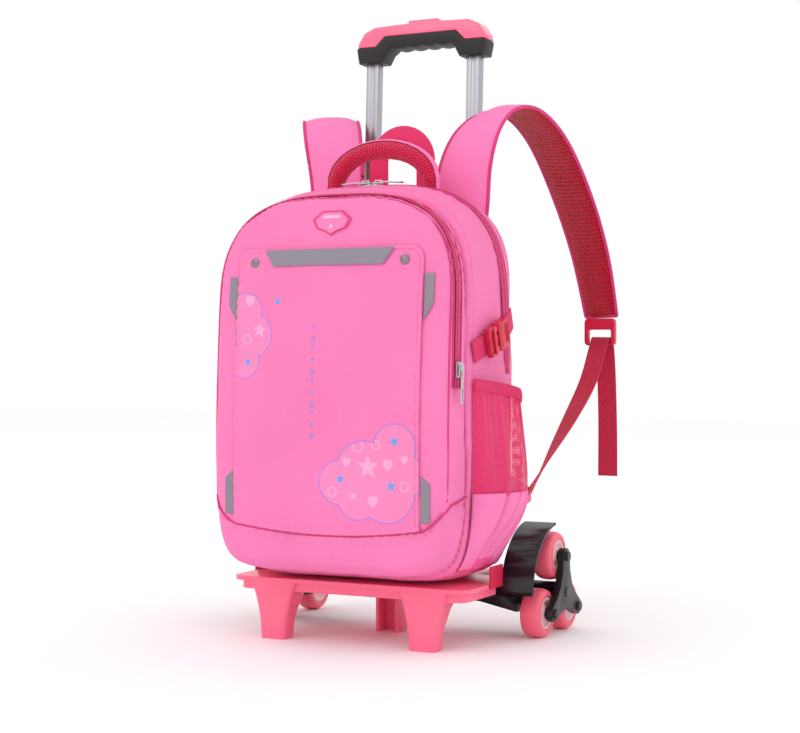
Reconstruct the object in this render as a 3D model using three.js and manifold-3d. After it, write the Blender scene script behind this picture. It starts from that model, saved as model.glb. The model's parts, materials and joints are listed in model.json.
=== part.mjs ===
// A child's wheeled backpack: a soft school bag strapped to a small stair-climbing trolley.
// Millimetres, +Z up. X runs to the wearer's left and right, +Y from the bag's front to its back.
import * as THREE from 'three';
import { mergeVertices } from 'three/addons/utils/BufferGeometryUtils.js';
import Module from 'manifold-3d';

const wasm = await Module();
wasm.setup();

// Driving dimensions

const CLEARANCE = 0.3; // between a rigid piece and its neighbour
const CLOTH_GAP = 0.5; // between a sewn-on piece and the cloth under it

const BAG = {
  halfWidth: 152, // main compartment, at its widest
  top: 518,
  middle: 380, // height where the straight sides turn into the arched top
  depth: 140,
  wall: 2,
  lean: 0.05, // share of the depth that the top loses
  swell: 1.5, // how far the middle of the back stands out
};
const POCKET = {
  halfWidth: 149, // front compartment
  top: 502,
  bottom: 84,
  depth: 50,
  wall: 2,
  lean: 0.5, // share of its depth that the thin top loses
};
const OUTLINE = { points: 36, crown: 3, corner: 8 }; // superellipse powers of the arch and of the base
const FLAP = { halfWidth: 116, top: 443, side: 165, dip: 41, corner: 16, thickness: 2, gap: 1.1 };
const REFLECTOR = { thickness: 0.8, width: 14, height: 18, topHalfWidth: 81, taper: 12 };
const RIVET = { radius: 5.5, height: 3, inset: 22, drop: 16 };
const BADGE = { width: 49, height: 29, thickness: 4, centre: 470 };
const FRONT_ZIP = { width: 9, depth: 27, low: 297 };
const MAIN_ZIP = { width: 12, topDepth: 62, lowDepth: 104, low: 330 };
const ZIP_TAPE = { thickness: 1.4, sink: 0.2 };
const SLIDER = { length: 17, width: 9, height: 6 };
const PULL = { length: 40, width: 7, thickness: 2 };
const SIDE_POCKET = {
  front: 8.5, // depth where it is sewn in
  back: 126,
  hem: 297, // height of the elastic hem at the front
  hemDrop: 18, // and how much lower it is at the back
  join: 172, // seam between net and cloth base
  bottom: 90,
  hemBulge: 16,
  bulge: 27,
  net: 1.4,
  cloth: 2,
  folds: 4,
  foldDepth: 4,
};
const SIDE_STRAP = { width: 24, thickness: 1.8, frontHeight: 327, backHeight: 367 };
const SIDE_BUCKLE = { length: 50, width: 33, thickness: 11, start: 30 };
const HANDLE = { halfSpan: 63, depth: 88, rise: 49, thickness: 22, cover: 1.8, gap: 0.9, sink: 6 };
const LOOP = { outer: 43, width: 24, thickness: 2.4, sewn: 64, top: 596 };
const STRAP = { thickness: 12, steps: 16, buckleWidth: 40, buckleHeight: 34, buckleThickness: 7, buckleDrop: 2.5 };
const WEBBING = { width: 25, thickness: 1.8 };
const TIE = { width: 34, thickness: 1.8, start: 55 };

const BASE = {
  halfWidth: 150,
  rearHalfWidth: 137,
  tongueHalfWidth: 96,
  front: -3,
  widePart: 93, // depth where the plate narrows for the wheel guards
  tongueStart: 132,
  back: 186,
  top: 70,
  plate: 5,
  corner: 14,
  lip: 6, // overhang of the plate over its skirt
  skirt: 15,
  skirtWall: 3.5,
};
const LEG = { offset: 95, footWidth: 33, footDepth: 22, headWidth: 62, headDepth: 44, y: 8 };
const REAR_LEG = { width: 29, depth: 24, wall: 4, y: 110 };

const WHEEL = { radius: 28.25, width: 24, plane: 170, hubRadius: 18, tyreInner: 18.3, pin: 4 };
const CLUSTER = { radius: 41.5, y: 182, arms: 3, plate: 8, tip: 9.5, waist: 9, head: 5.8, headOut: 3 };
const GUARD = { radius: 82, thickness: 2.5, from: 98, to: 177, inner: 144, outer: 183, steps: 14 };
const ARM = { inner: 60, front: 142, depth: 38, bottom: 28, notches: 3, notch: 9 };
const BOSS = { radius: 11.5, pin: 4 };

const POLE = {
  offset: 68,
  y: 168,
  lean: THREE.MathUtils.degToRad(2.7),
  width: 18,
  depth: 12,
  wall: 1.3,
  innerStart: 180,
  outerWidth: 22,
  outerDepth: 16,
  outerWall: 1.5,
  outerLength: 430,
  groove: 2,
};
const BRACKET = { from: 336, height: 26, margin: 5 };
const GRIP = {
  halfWidth: 87,
  ferrule: 612, // distance of the ferrule's lower rim from the pole's foot
  top: 658,
  split: 643,
  endSplit: 631,
  under: 629,
  depth: 30,
  waves: 4,
  wave: 2,
};
const BUTTON = { halfLength: 20, width: 13, proud: 4, sunk: 5 };

const seat = BASE.top + CLEARANCE; // height of the bag's underside
const starInner = WHEEL.plane + WHEEL.width / 2 + 2; // inner face of the three-armed plate
const wheelDrop = CLUSTER.radius * Math.sin(Math.PI / 6);
const clusterHeight = WHEEL.radius + wheelDrop;

// Height's effect on depth: the upper part of the bag grows thinner.
const thinned = (size, depth, z) => {
  const rise = THREE.MathUtils.clamp((z - BAG.middle * 0.6) / (BAG.top - BAG.middle * 0.6), 0, 1);
  return depth * (1 - size.lean * rise ** 1.6);
};

// Materials

const finish = (color, roughness, metalness = 0) => new THREE.MeshStandardMaterial({ color, roughness, metalness });
const bagCloth = finish(0xfc86bd, 0.75);
const net = finish(0xdf4079, 0.9);
const mesh3d = finish(0xc41c48, 0.9);
const webbing = finish(0xdc3f72, 0.85);
const tape = finish(0xde4478, 0.8);
const reflective = finish(0x928997, 0.4);
const coral = finish(0xfb6f8c, 0.4);
const pinkTyre = finish(0xf0708a, 0.55);
const paleHub = finish(0xf3c6cf, 0.4);
const black = finish(0x1c1416, 0.45);
const aluminium = finish(0xb4b2b7, 0.3, 0.9);
const chrome = finish(0xc9c9cf, 0.2, 1);
const redPlastic = finish(0xc22f55, 0.45);
const badgeRubber = finish(0xe9629f, 0.55);

// Bodies from rings and grids of points

function body(points, faces) {
  let volume = 0;
  const [a, b, c] = [new THREE.Vector3(), new THREE.Vector3(), new THREE.Vector3()];
  for (let i = 0; i < faces.length; i += 3) {
    a.copy(points[faces[i]]);
    b.copy(points[faces[i + 1]]);
    c.copy(points[faces[i + 2]]);
    volume += a.dot(b.cross(c));
  }
  if (volume < 0) faces.reverse();
  const geometry = new THREE.BufferGeometry();
  geometry.setAttribute('position', new THREE.Float32BufferAttribute(points.flatMap((p) => [p.x, p.y, p.z]), 3));
  geometry.setIndex(faces);
  return geometry;
}

// Rings of points joined in order, with a fan over each end.
function loft(rings, startCentre = null, endCentre = null) {
  const count = rings[0].length;
  const points = rings.flat();
  const faces = [];
  for (let i = 0; i + 1 < rings.length; i++) {
    for (let j = 0; j < count; j++) {
      const k = (j + 1) % count;
      const [p, q, r, s] = [i * count + j, i * count + k, (i + 1) * count + k, (i + 1) * count + j];
      faces.push(p, q, r, p, r, s);
    }
  }
  const mean = (ring) => ring.reduce((sum, p) => sum.add(p), new THREE.Vector3()).divideScalar(count);
  const start = points.push(startCentre ?? mean(rings[0])) - 1;
  const end = points.push(endCentre ?? mean(rings.at(-1))) - 1;
  const last = (rings.length - 1) * count;
  for (let j = 0; j < count; j++) {
    const k = (j + 1) % count;
    faces.push(start, k, j, end, last + j, last + k);
  }
  return body(points, faces);
}

// A wall between two grids of the same size, closed round its four edges.
function wall(outer, inner) {
  const rows = outer.length;
  const columns = outer[0].length;
  const points = [...outer.flat(), ...inner.flat()];
  const at = (side, i, j) => side * rows * columns + i * columns + j;
  const faces = [];
  const quad = (p, q, r, s) => faces.push(p, q, r, p, r, s);
  for (let i = 0; i + 1 < rows; i++) {
    for (let j = 0; j + 1 < columns; j++) {
      quad(at(0, i, j), at(0, i + 1, j), at(0, i + 1, j + 1), at(0, i, j + 1));
      quad(at(1, i, j), at(1, i, j + 1), at(1, i + 1, j + 1), at(1, i + 1, j));
    }
  }
  for (let i = 0; i + 1 < rows; i++) {
    const end = columns - 1;
    quad(at(0, i, 0), at(1, i, 0), at(1, i + 1, 0), at(0, i + 1, 0));
    quad(at(0, i, end), at(0, i + 1, end), at(1, i + 1, end), at(1, i, end));
  }
  for (let j = 0; j + 1 < columns; j++) {
    const end = rows - 1;
    quad(at(0, 0, j), at(0, 0, j + 1), at(1, 0, j + 1), at(1, 0, j));
    quad(at(0, end, j), at(1, end, j), at(1, end, j + 1), at(0, end, j + 1));
  }
  return body(points, faces);
}

const grid = (rows, columns, point) => Array.from({ length: rows + 1 }, (_, i) => (
  Array.from({ length: columns + 1 }, (__, j) => point(i / rows, j / columns))));

// Joining and cutting

function solid(geometry) {
  const plain = geometry.clone();
  plain.deleteAttribute('normal');
  plain.deleteAttribute('uv');
  const merged = mergeVertices(plain, 1e-4);
  return new wasm.Manifold(new wasm.Mesh({
    numProp: 3,
    vertProperties: new Float32Array(merged.attributes.position.array),
    triVerts: new Uint32Array(merged.index.array),
  }));
}

function surface(manifold) {
  const { numProp, vertProperties, triVerts } = manifold.getMesh();
  const geometry = new THREE.BufferGeometry();
  geometry.setAttribute('position', new THREE.BufferAttribute(new Float32Array(vertProperties), numProp));
  geometry.setIndex(new THREE.BufferAttribute(new Uint32Array(triVerts), 1));
  return geometry;
}

const joined = (geometries) => geometries.map(solid).reduce((whole, piece) => whole.add(piece));
const cut = (whole, geometries) => geometries.map(solid).reduce((left, piece) => left.subtract(piece), whole);

const block = (x0, x1, y0, y1, z0, z1) => new THREE.BoxGeometry(x1 - x0, y1 - y0, z1 - z0)
  .translate((x0 + x1) / 2, (y0 + y1) / 2, (z0 + z1) / 2);

// A cylinder along X from x0 to x1, centred on (y, z).
const rod = (radius, x0, x1, y, z, sides = 16) => new THREE.CylinderGeometry(radius, radius, x1 - x0, sides)
  .rotateZ(-Math.PI / 2)
  .translate((x0 + x1) / 2, y, z);

const plateOf = (shape, depth, curveSegments = 6) => new THREE.ExtrudeGeometry(shape, {
  depth, curveSegments, bevelEnabled: false,
});

// A shape drawn in (y, z) and pulled out along X from x0 to x1.
const pulledAlongX = (shape, x0, x1, curveSegments = 6) => plateOf(shape, x1 - x0, curveSegments)
  .rotateY(Math.PI / 2)
  .rotateX(Math.PI / 2)
  .translate(x0, 0, 0);

// A shape drawn in (x, z) and pulled out along Y from y0 to y1.
const pulledAlongY = (shape, y0, y1, curveSegments = 6) => plateOf(shape, y1 - y0, curveSegments)
  .rotateX(Math.PI / 2)
  .translate(0, y1, 0);

const polygon = (points) => new THREE.Shape(points.map(([x, y]) => new THREE.Vector2(x, y)));

function roundedBox(halfWidth, halfHeight, radius) {
  const shape = new THREE.Shape();
  const [w, h] = [halfWidth - radius, halfHeight - radius];
  shape.absarc(w, h, radius, 0, Math.PI / 2);
  shape.absarc(-w, h, radius, Math.PI / 2, Math.PI);
  shape.absarc(-w, -h, radius, Math.PI, 1.5 * Math.PI);
  shape.absarc(w, -h, radius, 1.5 * Math.PI, 2 * Math.PI);
  return shape;
}

const trolley = new THREE.Group();
const bag = new THREE.Group();

function place(group, name, geometry, material) {
  const mesh = new THREE.Mesh(geometry, material);
  mesh.name = name;
  group.add(mesh);
  return mesh;
}

const sides = [['right', 1], ['left', -1]];

// A copy on the other side of the bag: X is turned over, and so is each triangle's winding.
function mirrored(geometry, side) {
  if (side > 0) return geometry;
  const copy = (geometry.index ? geometry.toNonIndexed() : geometry.clone()).scale(-1, 1, 1);
  const { array } = copy.attributes.position;
  for (let i = 0; i < array.length; i += 9) {
    const second = array.slice(i + 3, i + 6);
    array.copyWithin(i + 3, i + 6, i + 9);
    array.set(second, i + 6);
  }
  return copy;
}

// Trolley base: a plate with a skirt, two front legs and a channelled rear leg

function plateShape(inset) {
  const [w, rear, tongue] = [BASE.halfWidth, BASE.rearHalfWidth, BASE.tongueHalfWidth].map((x) => x - inset);
  const [front, wide, back] = [BASE.front + inset, BASE.widePart - inset, BASE.back - inset];
  const half = [[tongue, back], [tongue, BASE.tongueStart], [rear, BASE.tongueStart], [rear, wide + BASE.corner], [w, wide]];
  const shape = polygon(half);
  shape.absarc(w - BASE.corner, front + BASE.corner, BASE.corner, 0, -Math.PI / 2, true);
  shape.absarc(-w + BASE.corner, front + BASE.corner, BASE.corner, -Math.PI / 2, -Math.PI, true);
  half.reverse().forEach(([x, y]) => shape.lineTo(-x, y));
  return shape;
}

function taperedLeg(x) {
  const under = BASE.top - BASE.plate / 2;
  const ring = (share) => {
    const spread = share ** 2;
    const width = THREE.MathUtils.lerp(LEG.footWidth, LEG.headWidth, spread) / 2;
    const depth = THREE.MathUtils.lerp(LEG.footDepth, LEG.headDepth, spread) / 2;
    return roundedBox(width, depth, LEG.footDepth / 4).getPoints(2).slice(0, -1)
      .map((p) => new THREE.Vector3(x + p.x, LEG.y + depth - LEG.footDepth / 2 + p.y, share * under));
  };
  return loft([0, 0.35, 0.65, 0.85, 1].map(ring));
}

function trolleyBase() {
  const skirtFoot = BASE.top - BASE.skirt;
  const plateFoot = BASE.top - BASE.plate;
  const plate = plateOf(plateShape(0), BASE.plate, 4).translate(0, 0, plateFoot);
  const skirt = plateOf(plateShape(BASE.lip), BASE.skirt - 1, 4).translate(0, 0, skirtFoot);
  const hollow = plateOf(plateShape(BASE.lip + BASE.skirtWall), BASE.skirt, 4).translate(0, 0, skirtFoot - BASE.plate);
  const behind = block(-BASE.halfWidth, BASE.halfWidth, BASE.widePart, BASE.back, skirtFoot - 1, plateFoot);
  const rim = cut(solid(skirt), [hollow, behind]);
  const { width, depth, wall: thick, y } = REAR_LEG;
  const rearLeg = block(-width / 2, width / 2, y - depth / 2, y + depth / 2, 0, BASE.top - BASE.plate / 2);
  const channel = block(thick - width / 2, width / 2 - thick, y - depth, y + depth / 2 - thick, -1, skirtFoot);
  const whole = joined([plate, taperedLeg(LEG.offset), taperedLeg(-LEG.offset)])
    .add(rim)
    .add(cut(solid(rearLeg), [channel]));
  return surface(whole);
}

place(trolley, 'cart_base', trolleyBase(), coral);

// Wheel brackets: an arm under the plate, an inner cheek, a curved guard and the cluster's boss

const polar = (radius, degrees) => {
  const angle = THREE.MathUtils.degToRad(degrees);
  return [CLUSTER.y + radius * Math.cos(angle), clusterHeight + radius * Math.sin(angle)];
};

function guardShape(inner, outer) {
  const span = GUARD.to - GUARD.from;
  const arc = (radius) => Array.from({ length: GUARD.steps + 1 }, (_, i) => (
    polar(radius, GUARD.from + (span * i) / GUARD.steps)));
  return polygon([...arc(outer), ...(inner ? arc(inner).reverse() : [[CLUSTER.y, clusterHeight]])]);
}

function wheelBracket() {
  const top = BASE.top - BASE.plate - CLEARANCE;
  const cheek = GUARD.inner + 3.5;
  const guard = pulledAlongX(guardShape(GUARD.radius - GUARD.thickness, GUARD.radius), GUARD.inner, GUARD.outer);
  const side = pulledAlongX(guardShape(0, GUARD.radius), GUARD.inner, cheek);
  const boss = rod(BOSS.radius, GUARD.inner, starInner - CLEARANCE, CLUSTER.y, clusterHeight);
  const bore = rod(BOSS.pin + CLEARANCE, cheek, starInner + 1, CLUSTER.y, clusterHeight);
  const arm = polygon([
    [ARM.inner, top], [ARM.inner, ARM.bottom + 12], [ARM.inner + 40, ARM.bottom + 9],
    [GUARD.inner, ARM.bottom], [cheek, ARM.bottom], [cheek, top],
  ]);
  const bar = pulledAlongY(arm, ARM.front, ARM.front + ARM.depth);
  const notches = Array.from({ length: ARM.notches }, (_, i) => (
    new THREE.CylinderGeometry(ARM.notch / 2, ARM.notch / 2, 3 * ARM.depth, 10)
      .translate(ARM.inner + ARM.notch * (i + 0.9), ARM.front, ARM.bottom + 8)));
  return surface(cut(joined([guard, side, boss, bar]), [bore, ...notches]));
}

// Three-armed plate with its stub axle and three wheel pins, as one moulded piece

function clusterStar() {
  const tips = Array.from({ length: CLUSTER.arms }, (_, i) => Math.PI / 2 + (i * 2 * Math.PI) / CLUSTER.arms);
  const shape = new THREE.Shape();
  tips.forEach((angle, i) => {
    const next = angle + Math.PI / CLUSTER.arms;
    const [x, y] = [CLUSTER.radius * Math.cos(angle), CLUSTER.radius * Math.sin(angle)];
    const quarter = Math.PI / 2;
    if (i === 0) shape.moveTo(x + CLUSTER.tip * Math.cos(angle - quarter), y + CLUSTER.tip * Math.sin(angle - quarter));
    shape.absarc(x, y, CLUSTER.tip, angle - quarter, angle + quarter);
    const following = angle + (2 * Math.PI) / CLUSTER.arms;
    shape.quadraticCurveTo(
      CLUSTER.waist * Math.cos(next), CLUSTER.waist * Math.sin(next),
      CLUSTER.radius * Math.cos(following) + CLUSTER.tip * Math.cos(following - quarter),
      CLUSTER.radius * Math.sin(following) + CLUSTER.tip * Math.sin(following - quarter),
    );
  });
  const plate = pulledAlongX(shape, starInner, starInner + CLUSTER.plate, 4);
  const outer = starInner + CLUSTER.plate;
  const pins = tips.flatMap((angle) => {
    const [y, z] = [CLUSTER.radius * Math.cos(angle), CLUSTER.radius * Math.sin(angle)];
    return [
      rod(WHEEL.pin, WHEEL.plane - WHEEL.width / 2, starInner + 1, y, z, 8),
      rod(CLUSTER.head, outer - 1, outer + CLUSTER.headOut, y, z, 10),
    ];
  });
  const axle = rod(BOSS.pin, GUARD.inner + 6, starInner + 1, 0, 0, 8);
  const cap = rod(CLUSTER.head, outer - 1, outer + 1, 0, 0, 10);
  return surface(joined([plate, axle, cap, ...pins]));
}

// A ring turned about X from a table of (distance along the axle, radius).
const turned = (profile, sides) => new THREE.LatheGeometry(
  [...profile, profile[0]].reverse().map(([along, radius]) => new THREE.Vector2(radius, along)), sides,
).rotateZ(-Math.PI / 2);

function tyre() {
  const [half, r] = [WHEEL.width / 2, WHEEL.radius];
  return turned([
    [-half, WHEEL.tyreInner], [half, WHEEL.tyreInner], [half, r * 0.84], [half * 0.45, r],
    [-half * 0.45, r], [-half, r * 0.84],
  ], 14);
}

function hub() {
  const [half, bore] = [WHEEL.width / 2, WHEEL.pin + CLEARANCE];
  const [rim, web] = [WHEEL.hubRadius - 3.5, half - 4];
  return turned([
    [-half, bore], [half, bore], [half, bore + 3], [web, rim],
    [half - 1, WHEEL.hubRadius], [1 - half, WHEEL.hubRadius], [-web, rim],
  ], 14);
}

sides.forEach(([side, sign]) => {
  place(trolley, `wheel_bracket_${side}`, mirrored(wheelBracket(), sign), black);
  const cluster = new THREE.Group();
  cluster.position.set(0, CLUSTER.y, clusterHeight);
  trolley.add(cluster);
  place(cluster, `star_${side}`, mirrored(clusterStar(), sign), black);
  for (let i = 0; i < CLUSTER.arms; i++) {
    const angle = Math.PI / 2 + (i * 2 * Math.PI) / CLUSTER.arms;
    const wheel = new THREE.Group();
    wheel.position.set(sign * WHEEL.plane, CLUSTER.radius * Math.cos(angle), CLUSTER.radius * Math.sin(angle));
    cluster.add(wheel);
    place(wheel, `tyre_${side}_${i + 1}`, tyre(), pinkTyre);
    place(wheel, `hub_${side}_${i + 1}`, hub(), paleHub);
  }
});

// Telescopic poles, which lean back; inside their group Z runs along them

const poles = new THREE.Group();
poles.position.set(0, POLE.y, BASE.top);
poles.rotation.x = -POLE.lean;
trolley.add(poles);

function tube(width, depth, thick, from, to, groove) {
  const bar = plateOf(roundedBox(width / 2, depth / 2, 2), to - from, 2).translate(0, 0, from);
  const core = plateOf(roundedBox(width / 2 - thick, depth / 2 - thick, 1), to - from + 2, 1).translate(0, 0, from - 1);
  const channels = groove ? [-1, 1].map((face) => block(
    -groove, groove, face * (depth / 2) - thick / 2, face * (depth / 2) + thick / 2, from - 1, to + 1,
  )) : [];
  return surface(cut(solid(bar), [core, ...channels]));
}

// The pole's foot rests on the plate: its tilted lower end clears it by the lean of its half depth.
const footLift = (POLE.outerDepth / 2) * Math.tan(POLE.lean) + CLEARANCE;
const gripSocket = GRIP.ferrule + 20;

sides.forEach(([side, sign]) => {
  const outer = tube(POLE.outerWidth, POLE.outerDepth, POLE.outerWall, footLift, POLE.outerLength, 0);
  place(poles, `outer_pole_${side}`, outer, aluminium).position.x = sign * POLE.offset;
  const inner = tube(POLE.width, POLE.depth, POLE.wall, POLE.innerStart, gripSocket - 1, POLE.groove);
  place(poles, `inner_pole_${side}`, inner, aluminium).position.x = sign * POLE.offset;
});

// Cross bracket that ties the outer tubes together and reaches forward to the bag's back

function poleBracket() {
  const half = POLE.offset + POLE.outerWidth / 2 + BRACKET.margin;
  const deep = POLE.outerDepth / 2 + BRACKET.margin;
  const bagBack = thinned(BAG, BAG.depth + BAG.swell, BASE.top + BRACKET.from) + CLOTH_GAP;
  const reach = (POLE.y + BRACKET.from * Math.sin(POLE.lean) - bagBack) / Math.cos(POLE.lean);
  const bar = block(-half, half, -deep, deep, BRACKET.from, BRACKET.from + BRACKET.height);
  const pad = block(-POLE.offset / 2, POLE.offset / 2, -reach, 0, BRACKET.from, BRACKET.from + BRACKET.height);
  const holes = [-1, 1].map((sign) => block(
    sign * POLE.offset - POLE.outerWidth / 2 - CLEARANCE, sign * POLE.offset + POLE.outerWidth / 2 + CLEARANCE,
    -POLE.outerDepth / 2 - CLEARANCE, POLE.outerDepth / 2 + CLEARANCE, 0, POLE.outerLength,
  ));
  return surface(cut(joined([bar, pad]), holes));
}

place(poles, 'pole_bracket', poleBracket(), black);

// Grip: a waved core with a ferrule over each pole, a cover over it and the release button

function gripOutline() {
  const { halfWidth: w, ferrule, top, under, wave, waves } = GRIP;
  const opening = POLE.offset - 16;
  const waveSteps = waves * 4;
  const points = [[w - 3, ferrule], [w, ferrule + 16], [w - 2, top - 20], [w - 10, top - 8], [w - 24, top - 2], [0, top]];
  const mirror = points.slice(0, -1).reverse().map(([x, z]) => [-x, z]);
  const waved = Array.from({ length: waveSteps + 1 }, (_, i) => {
    const share = i / waveSteps;
    const x = THREE.MathUtils.lerp(-opening + 14, opening - 14, share);
    return [x, under - wave * Math.abs(Math.sin(share * waves * Math.PI))];
  });
  return polygon([...points, ...mirror, [-opening, ferrule], [-opening + 6, under - 6], ...waved,
    [opening - 6, under - 6], [opening, ferrule]]);
}

function gripHalf(above) {
  const { halfWidth: w, split, endSplit, depth, top } = GRIP;
  const step = POLE.offset - 8;
  const gap = above ? CLEARANCE : 0;
  const line = [[w + 5, endSplit], [step, endSplit], [step - 12, split]].map(([x, z]) => [x, z + gap]);
  const limit = above ? top + 10 : GRIP.ferrule - 10;
  const region = polygon([[w + 5, limit], ...line, ...line.slice().reverse().map(([x, z]) => [-x, z]), [-w - 5, limit]]);
  const bevel = 4;
  const rounded = new THREE.ExtrudeGeometry(gripOutline(), {
    depth: depth - 2 * bevel, bevelThickness: bevel, bevelSize: bevel, bevelOffset: -bevel, bevelSegments: 2,
  }).rotateX(Math.PI / 2).translate(0, depth / 2 - bevel, 0);
  return solid(rounded).intersect(solid(pulledAlongY(region, -depth, depth)));
}

const buttonBox = (gap, from, to) => block(
  -BUTTON.halfLength - gap, BUTTON.halfLength + gap, -BUTTON.width / 2 - gap, BUTTON.width / 2 + gap, from, to,
);

function gripCore() {
  const sockets = [-1, 1].map((sign) => block(
    sign * POLE.offset - POLE.width / 2 - CLEARANCE, sign * POLE.offset + POLE.width / 2 + CLEARANCE,
    -POLE.depth / 2 - CLEARANCE, POLE.depth / 2 + CLEARANCE, GRIP.ferrule - 5, gripSocket,
  ));
  return surface(cut(gripHalf(false), sockets));
}

place(poles, 'grip_core', gripCore(), black);
place(poles, 'grip_cover', surface(cut(gripHalf(true), [
  buttonBox(CLEARANCE, GRIP.top - BUTTON.sunk - BUTTON.proud - 1, GRIP.top + 5)])), coral);
place(poles, 'grip_button', buttonBox(0, GRIP.top - BUTTON.sunk, GRIP.top + BUTTON.proud), coral);

// Bag shells: one outline, drawn in (x, z), carried through depth by a table of insets

const unitOutline = (() => {
  const dense = 720;
  const power = (value, exponent) => Math.sign(value) * Math.abs(value) ** (2 / exponent);
  const raw = Array.from({ length: dense }, (_, i) => {
    const angle = (2 * Math.PI * i) / dense - Math.PI / 2;
    const exponent = Math.sin(angle) > 0 ? OUTLINE.crown : OUTLINE.corner;
    return new THREE.Vector2(power(Math.cos(angle), exponent), power(Math.sin(angle), exponent));
  });
  // Points are shared out by length and by turning, so that the corners stay round.
  const measure = [0];
  raw.forEach((p, i) => {
    const next = raw[(i + 1) % dense];
    const after = raw[(i + 2) % dense];
    const turn = Math.abs(next.clone().sub(p).angleTo(after.clone().sub(next)));
    measure.push(measure[i] + p.distanceTo(next) / 8 + turn / (2 * Math.PI));
  });
  const total = measure[dense];
  return Array.from({ length: OUTLINE.points }, (_, i) => {
    const target = (total * i) / OUTLINE.points;
    return raw[measure.findIndex((value) => value >= target - 1e-9) % dense];
  });
})();

const bagMiddle = (size) => (size.bottom ?? seat) + (size.top - (size.bottom ?? seat)) * 0.69;

function ringPoint(size, row, unit, grow = 0) {
  const middle = bagMiddle(size);
  const bottom = size.bottom ?? seat;
  const high = size.top - middle;
  const low = middle - bottom;
  const x = unit.x * ((size.halfWidth - grow) * (row.scale ?? 1) - row.side);
  const z = middle + unit.y * (((unit.y > 0 ? high : low) - grow) * (row.scale ?? 1) - (unit.y > 0 ? row.top : row.foot));
  return [x, z];
}

// Insets in mm of each ring of the main compartment; depth as a share of its whole depth
const MAIN_RINGS = [
  { depth: 0, side: 7, top: 15, foot: 12 },
  { depth: 0.06, side: 1.5, top: 8, foot: 4 },
  { depth: 0.3, side: 0, top: 2, foot: 0 },
  { depth: 0.55, side: 0, top: 0, foot: 0 },
  { depth: 0.78, side: 2, top: 2, foot: 0 },
  { depth: 0.9, side: 6, top: 8, foot: 4 },
  { depth: 0.97, side: 15, top: 18, foot: 12 },
  { depth: 1, side: 30, top: 34, foot: 26 },
];

// The same for the front compartment, whose depth runs forward; scale shrinks the rings of its face
const FRONT_RINGS = [
  { depth: 0, side: 3, top: 4, foot: 3 },
  { depth: 0.12, side: 0, top: 0, foot: 0 },
  { depth: 0.45, side: 0, top: 0, foot: 0 },
  { depth: 0.74, side: 2, top: 2, foot: 2 },
  { depth: 0.88, side: 7, top: 8, foot: 8 },
  { depth: 0.95, side: 15, top: 18, foot: 18 },
  { depth: 0.98, side: 20, top: 22, foot: 22, scale: 0.88 },
  { depth: 1, side: 20, top: 22, foot: 22, scale: 0.6 },
  { depth: 1.01, side: 12, top: 14, foot: 14, scale: 0.3 },
];

const faceCentre = (size, y) => new THREE.Vector3(0, y, bagMiddle(size));

function mainBody(grow) {
  const start = CLEARANCE + (grow > 0 ? grow : 0);
  const rings = MAIN_RINGS.map((row) => unitOutline.map((unit) => {
    const [x, z] = ringPoint(BAG, row, unit, grow);
    const y = THREE.MathUtils.lerp(start, BAG.depth - grow, row.depth);
    return new THREE.Vector3(x, thinned(BAG, y, z), z);
  }));
  rings[0].forEach((p) => { p.y = start; });
  return loft(rings, faceCentre(BAG, start), faceCentre(BAG, thinned(BAG, BAG.depth + BAG.swell - grow, bagMiddle(BAG))));
}

function frontBody(grow, from) {
  const rings = FRONT_RINGS.map((row) => unitOutline.map((unit) => {
    const [x, z] = ringPoint(POCKET, row, unit, grow);
    return new THREE.Vector3(x, -thinned(POCKET, (POCKET.depth - grow) * row.depth, z), z);
  }));
  rings[0].forEach((p) => { p.y = from; });
  const tip = -thinned(POCKET, (POCKET.depth - grow) * 1.02, bagMiddle(POCKET));
  return loft(rings, faceCentre(POCKET, from), faceCentre(POCKET, tip));
}

// How far along its rings a compartment's skin meets (x, z): each ring is a superellipse of its own.
function skinDepth(size, rings, x, z) {
  const middle = bagMiddle(size);
  const upper = z > middle;
  const exponent = upper ? OUTLINE.crown : OUTLINE.corner;
  const reach = rings.map((row) => {
    const [half] = ringPoint(size, row, { x: 1, y: 0 });
    const [, end] = ringPoint(size, row, { x: 0, y: upper ? 1 : -1 });
    return (Math.abs(x) / half) ** exponent + (Math.abs(z - middle) / Math.abs(end - middle)) ** exponent;
  });
  const after = reach.findIndex((value, i) => i > 0 && value >= 1);
  if (after < 0) return rings.at(-1).depth;
  const share = (1 - reach[after - 1]) / (reach[after] - reach[after - 1]);
  return THREE.MathUtils.lerp(rings[after - 1].depth, rings[after].depth, THREE.MathUtils.clamp(share, 0, 1));
}

const frontSkin = (x, z) => -thinned(POCKET, POCKET.depth * skinDepth(POCKET, FRONT_RINGS, x, z), z);

// Insets between two rings of a table
function rowAt(rings, share) {
  const depth = THREE.MathUtils.clamp(share, 0, 1);
  const after = Math.max(1, rings.findIndex((row) => row.depth >= depth - 1e-9));
  const [a, b] = [rings[after - 1], rings[after]];
  const mix = (key) => THREE.MathUtils.lerp(a[key], b[key], (depth - a.depth) / (b.depth - a.depth));
  return { side: mix('side'), top: mix('top'), foot: mix('foot') };
}

// Half width of the main compartment's side at a depth and height
function sideSkin(y, z) {
  const row = rowAt(MAIN_RINGS, y / thinned(BAG, BAG.depth, z));
  const middle = bagMiddle(BAG);
  const upper = z > middle;
  const [, end] = ringPoint(BAG, row, { x: 0, y: upper ? 1 : -1 });
  const exponent = upper ? OUTLINE.crown : OUTLINE.corner;
  const height = Math.min(Math.abs(z - middle) / Math.abs(end - middle), 0.999);
  return (BAG.halfWidth - row.side) * (1 - height ** exponent) ** (1 / exponent);
}

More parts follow.
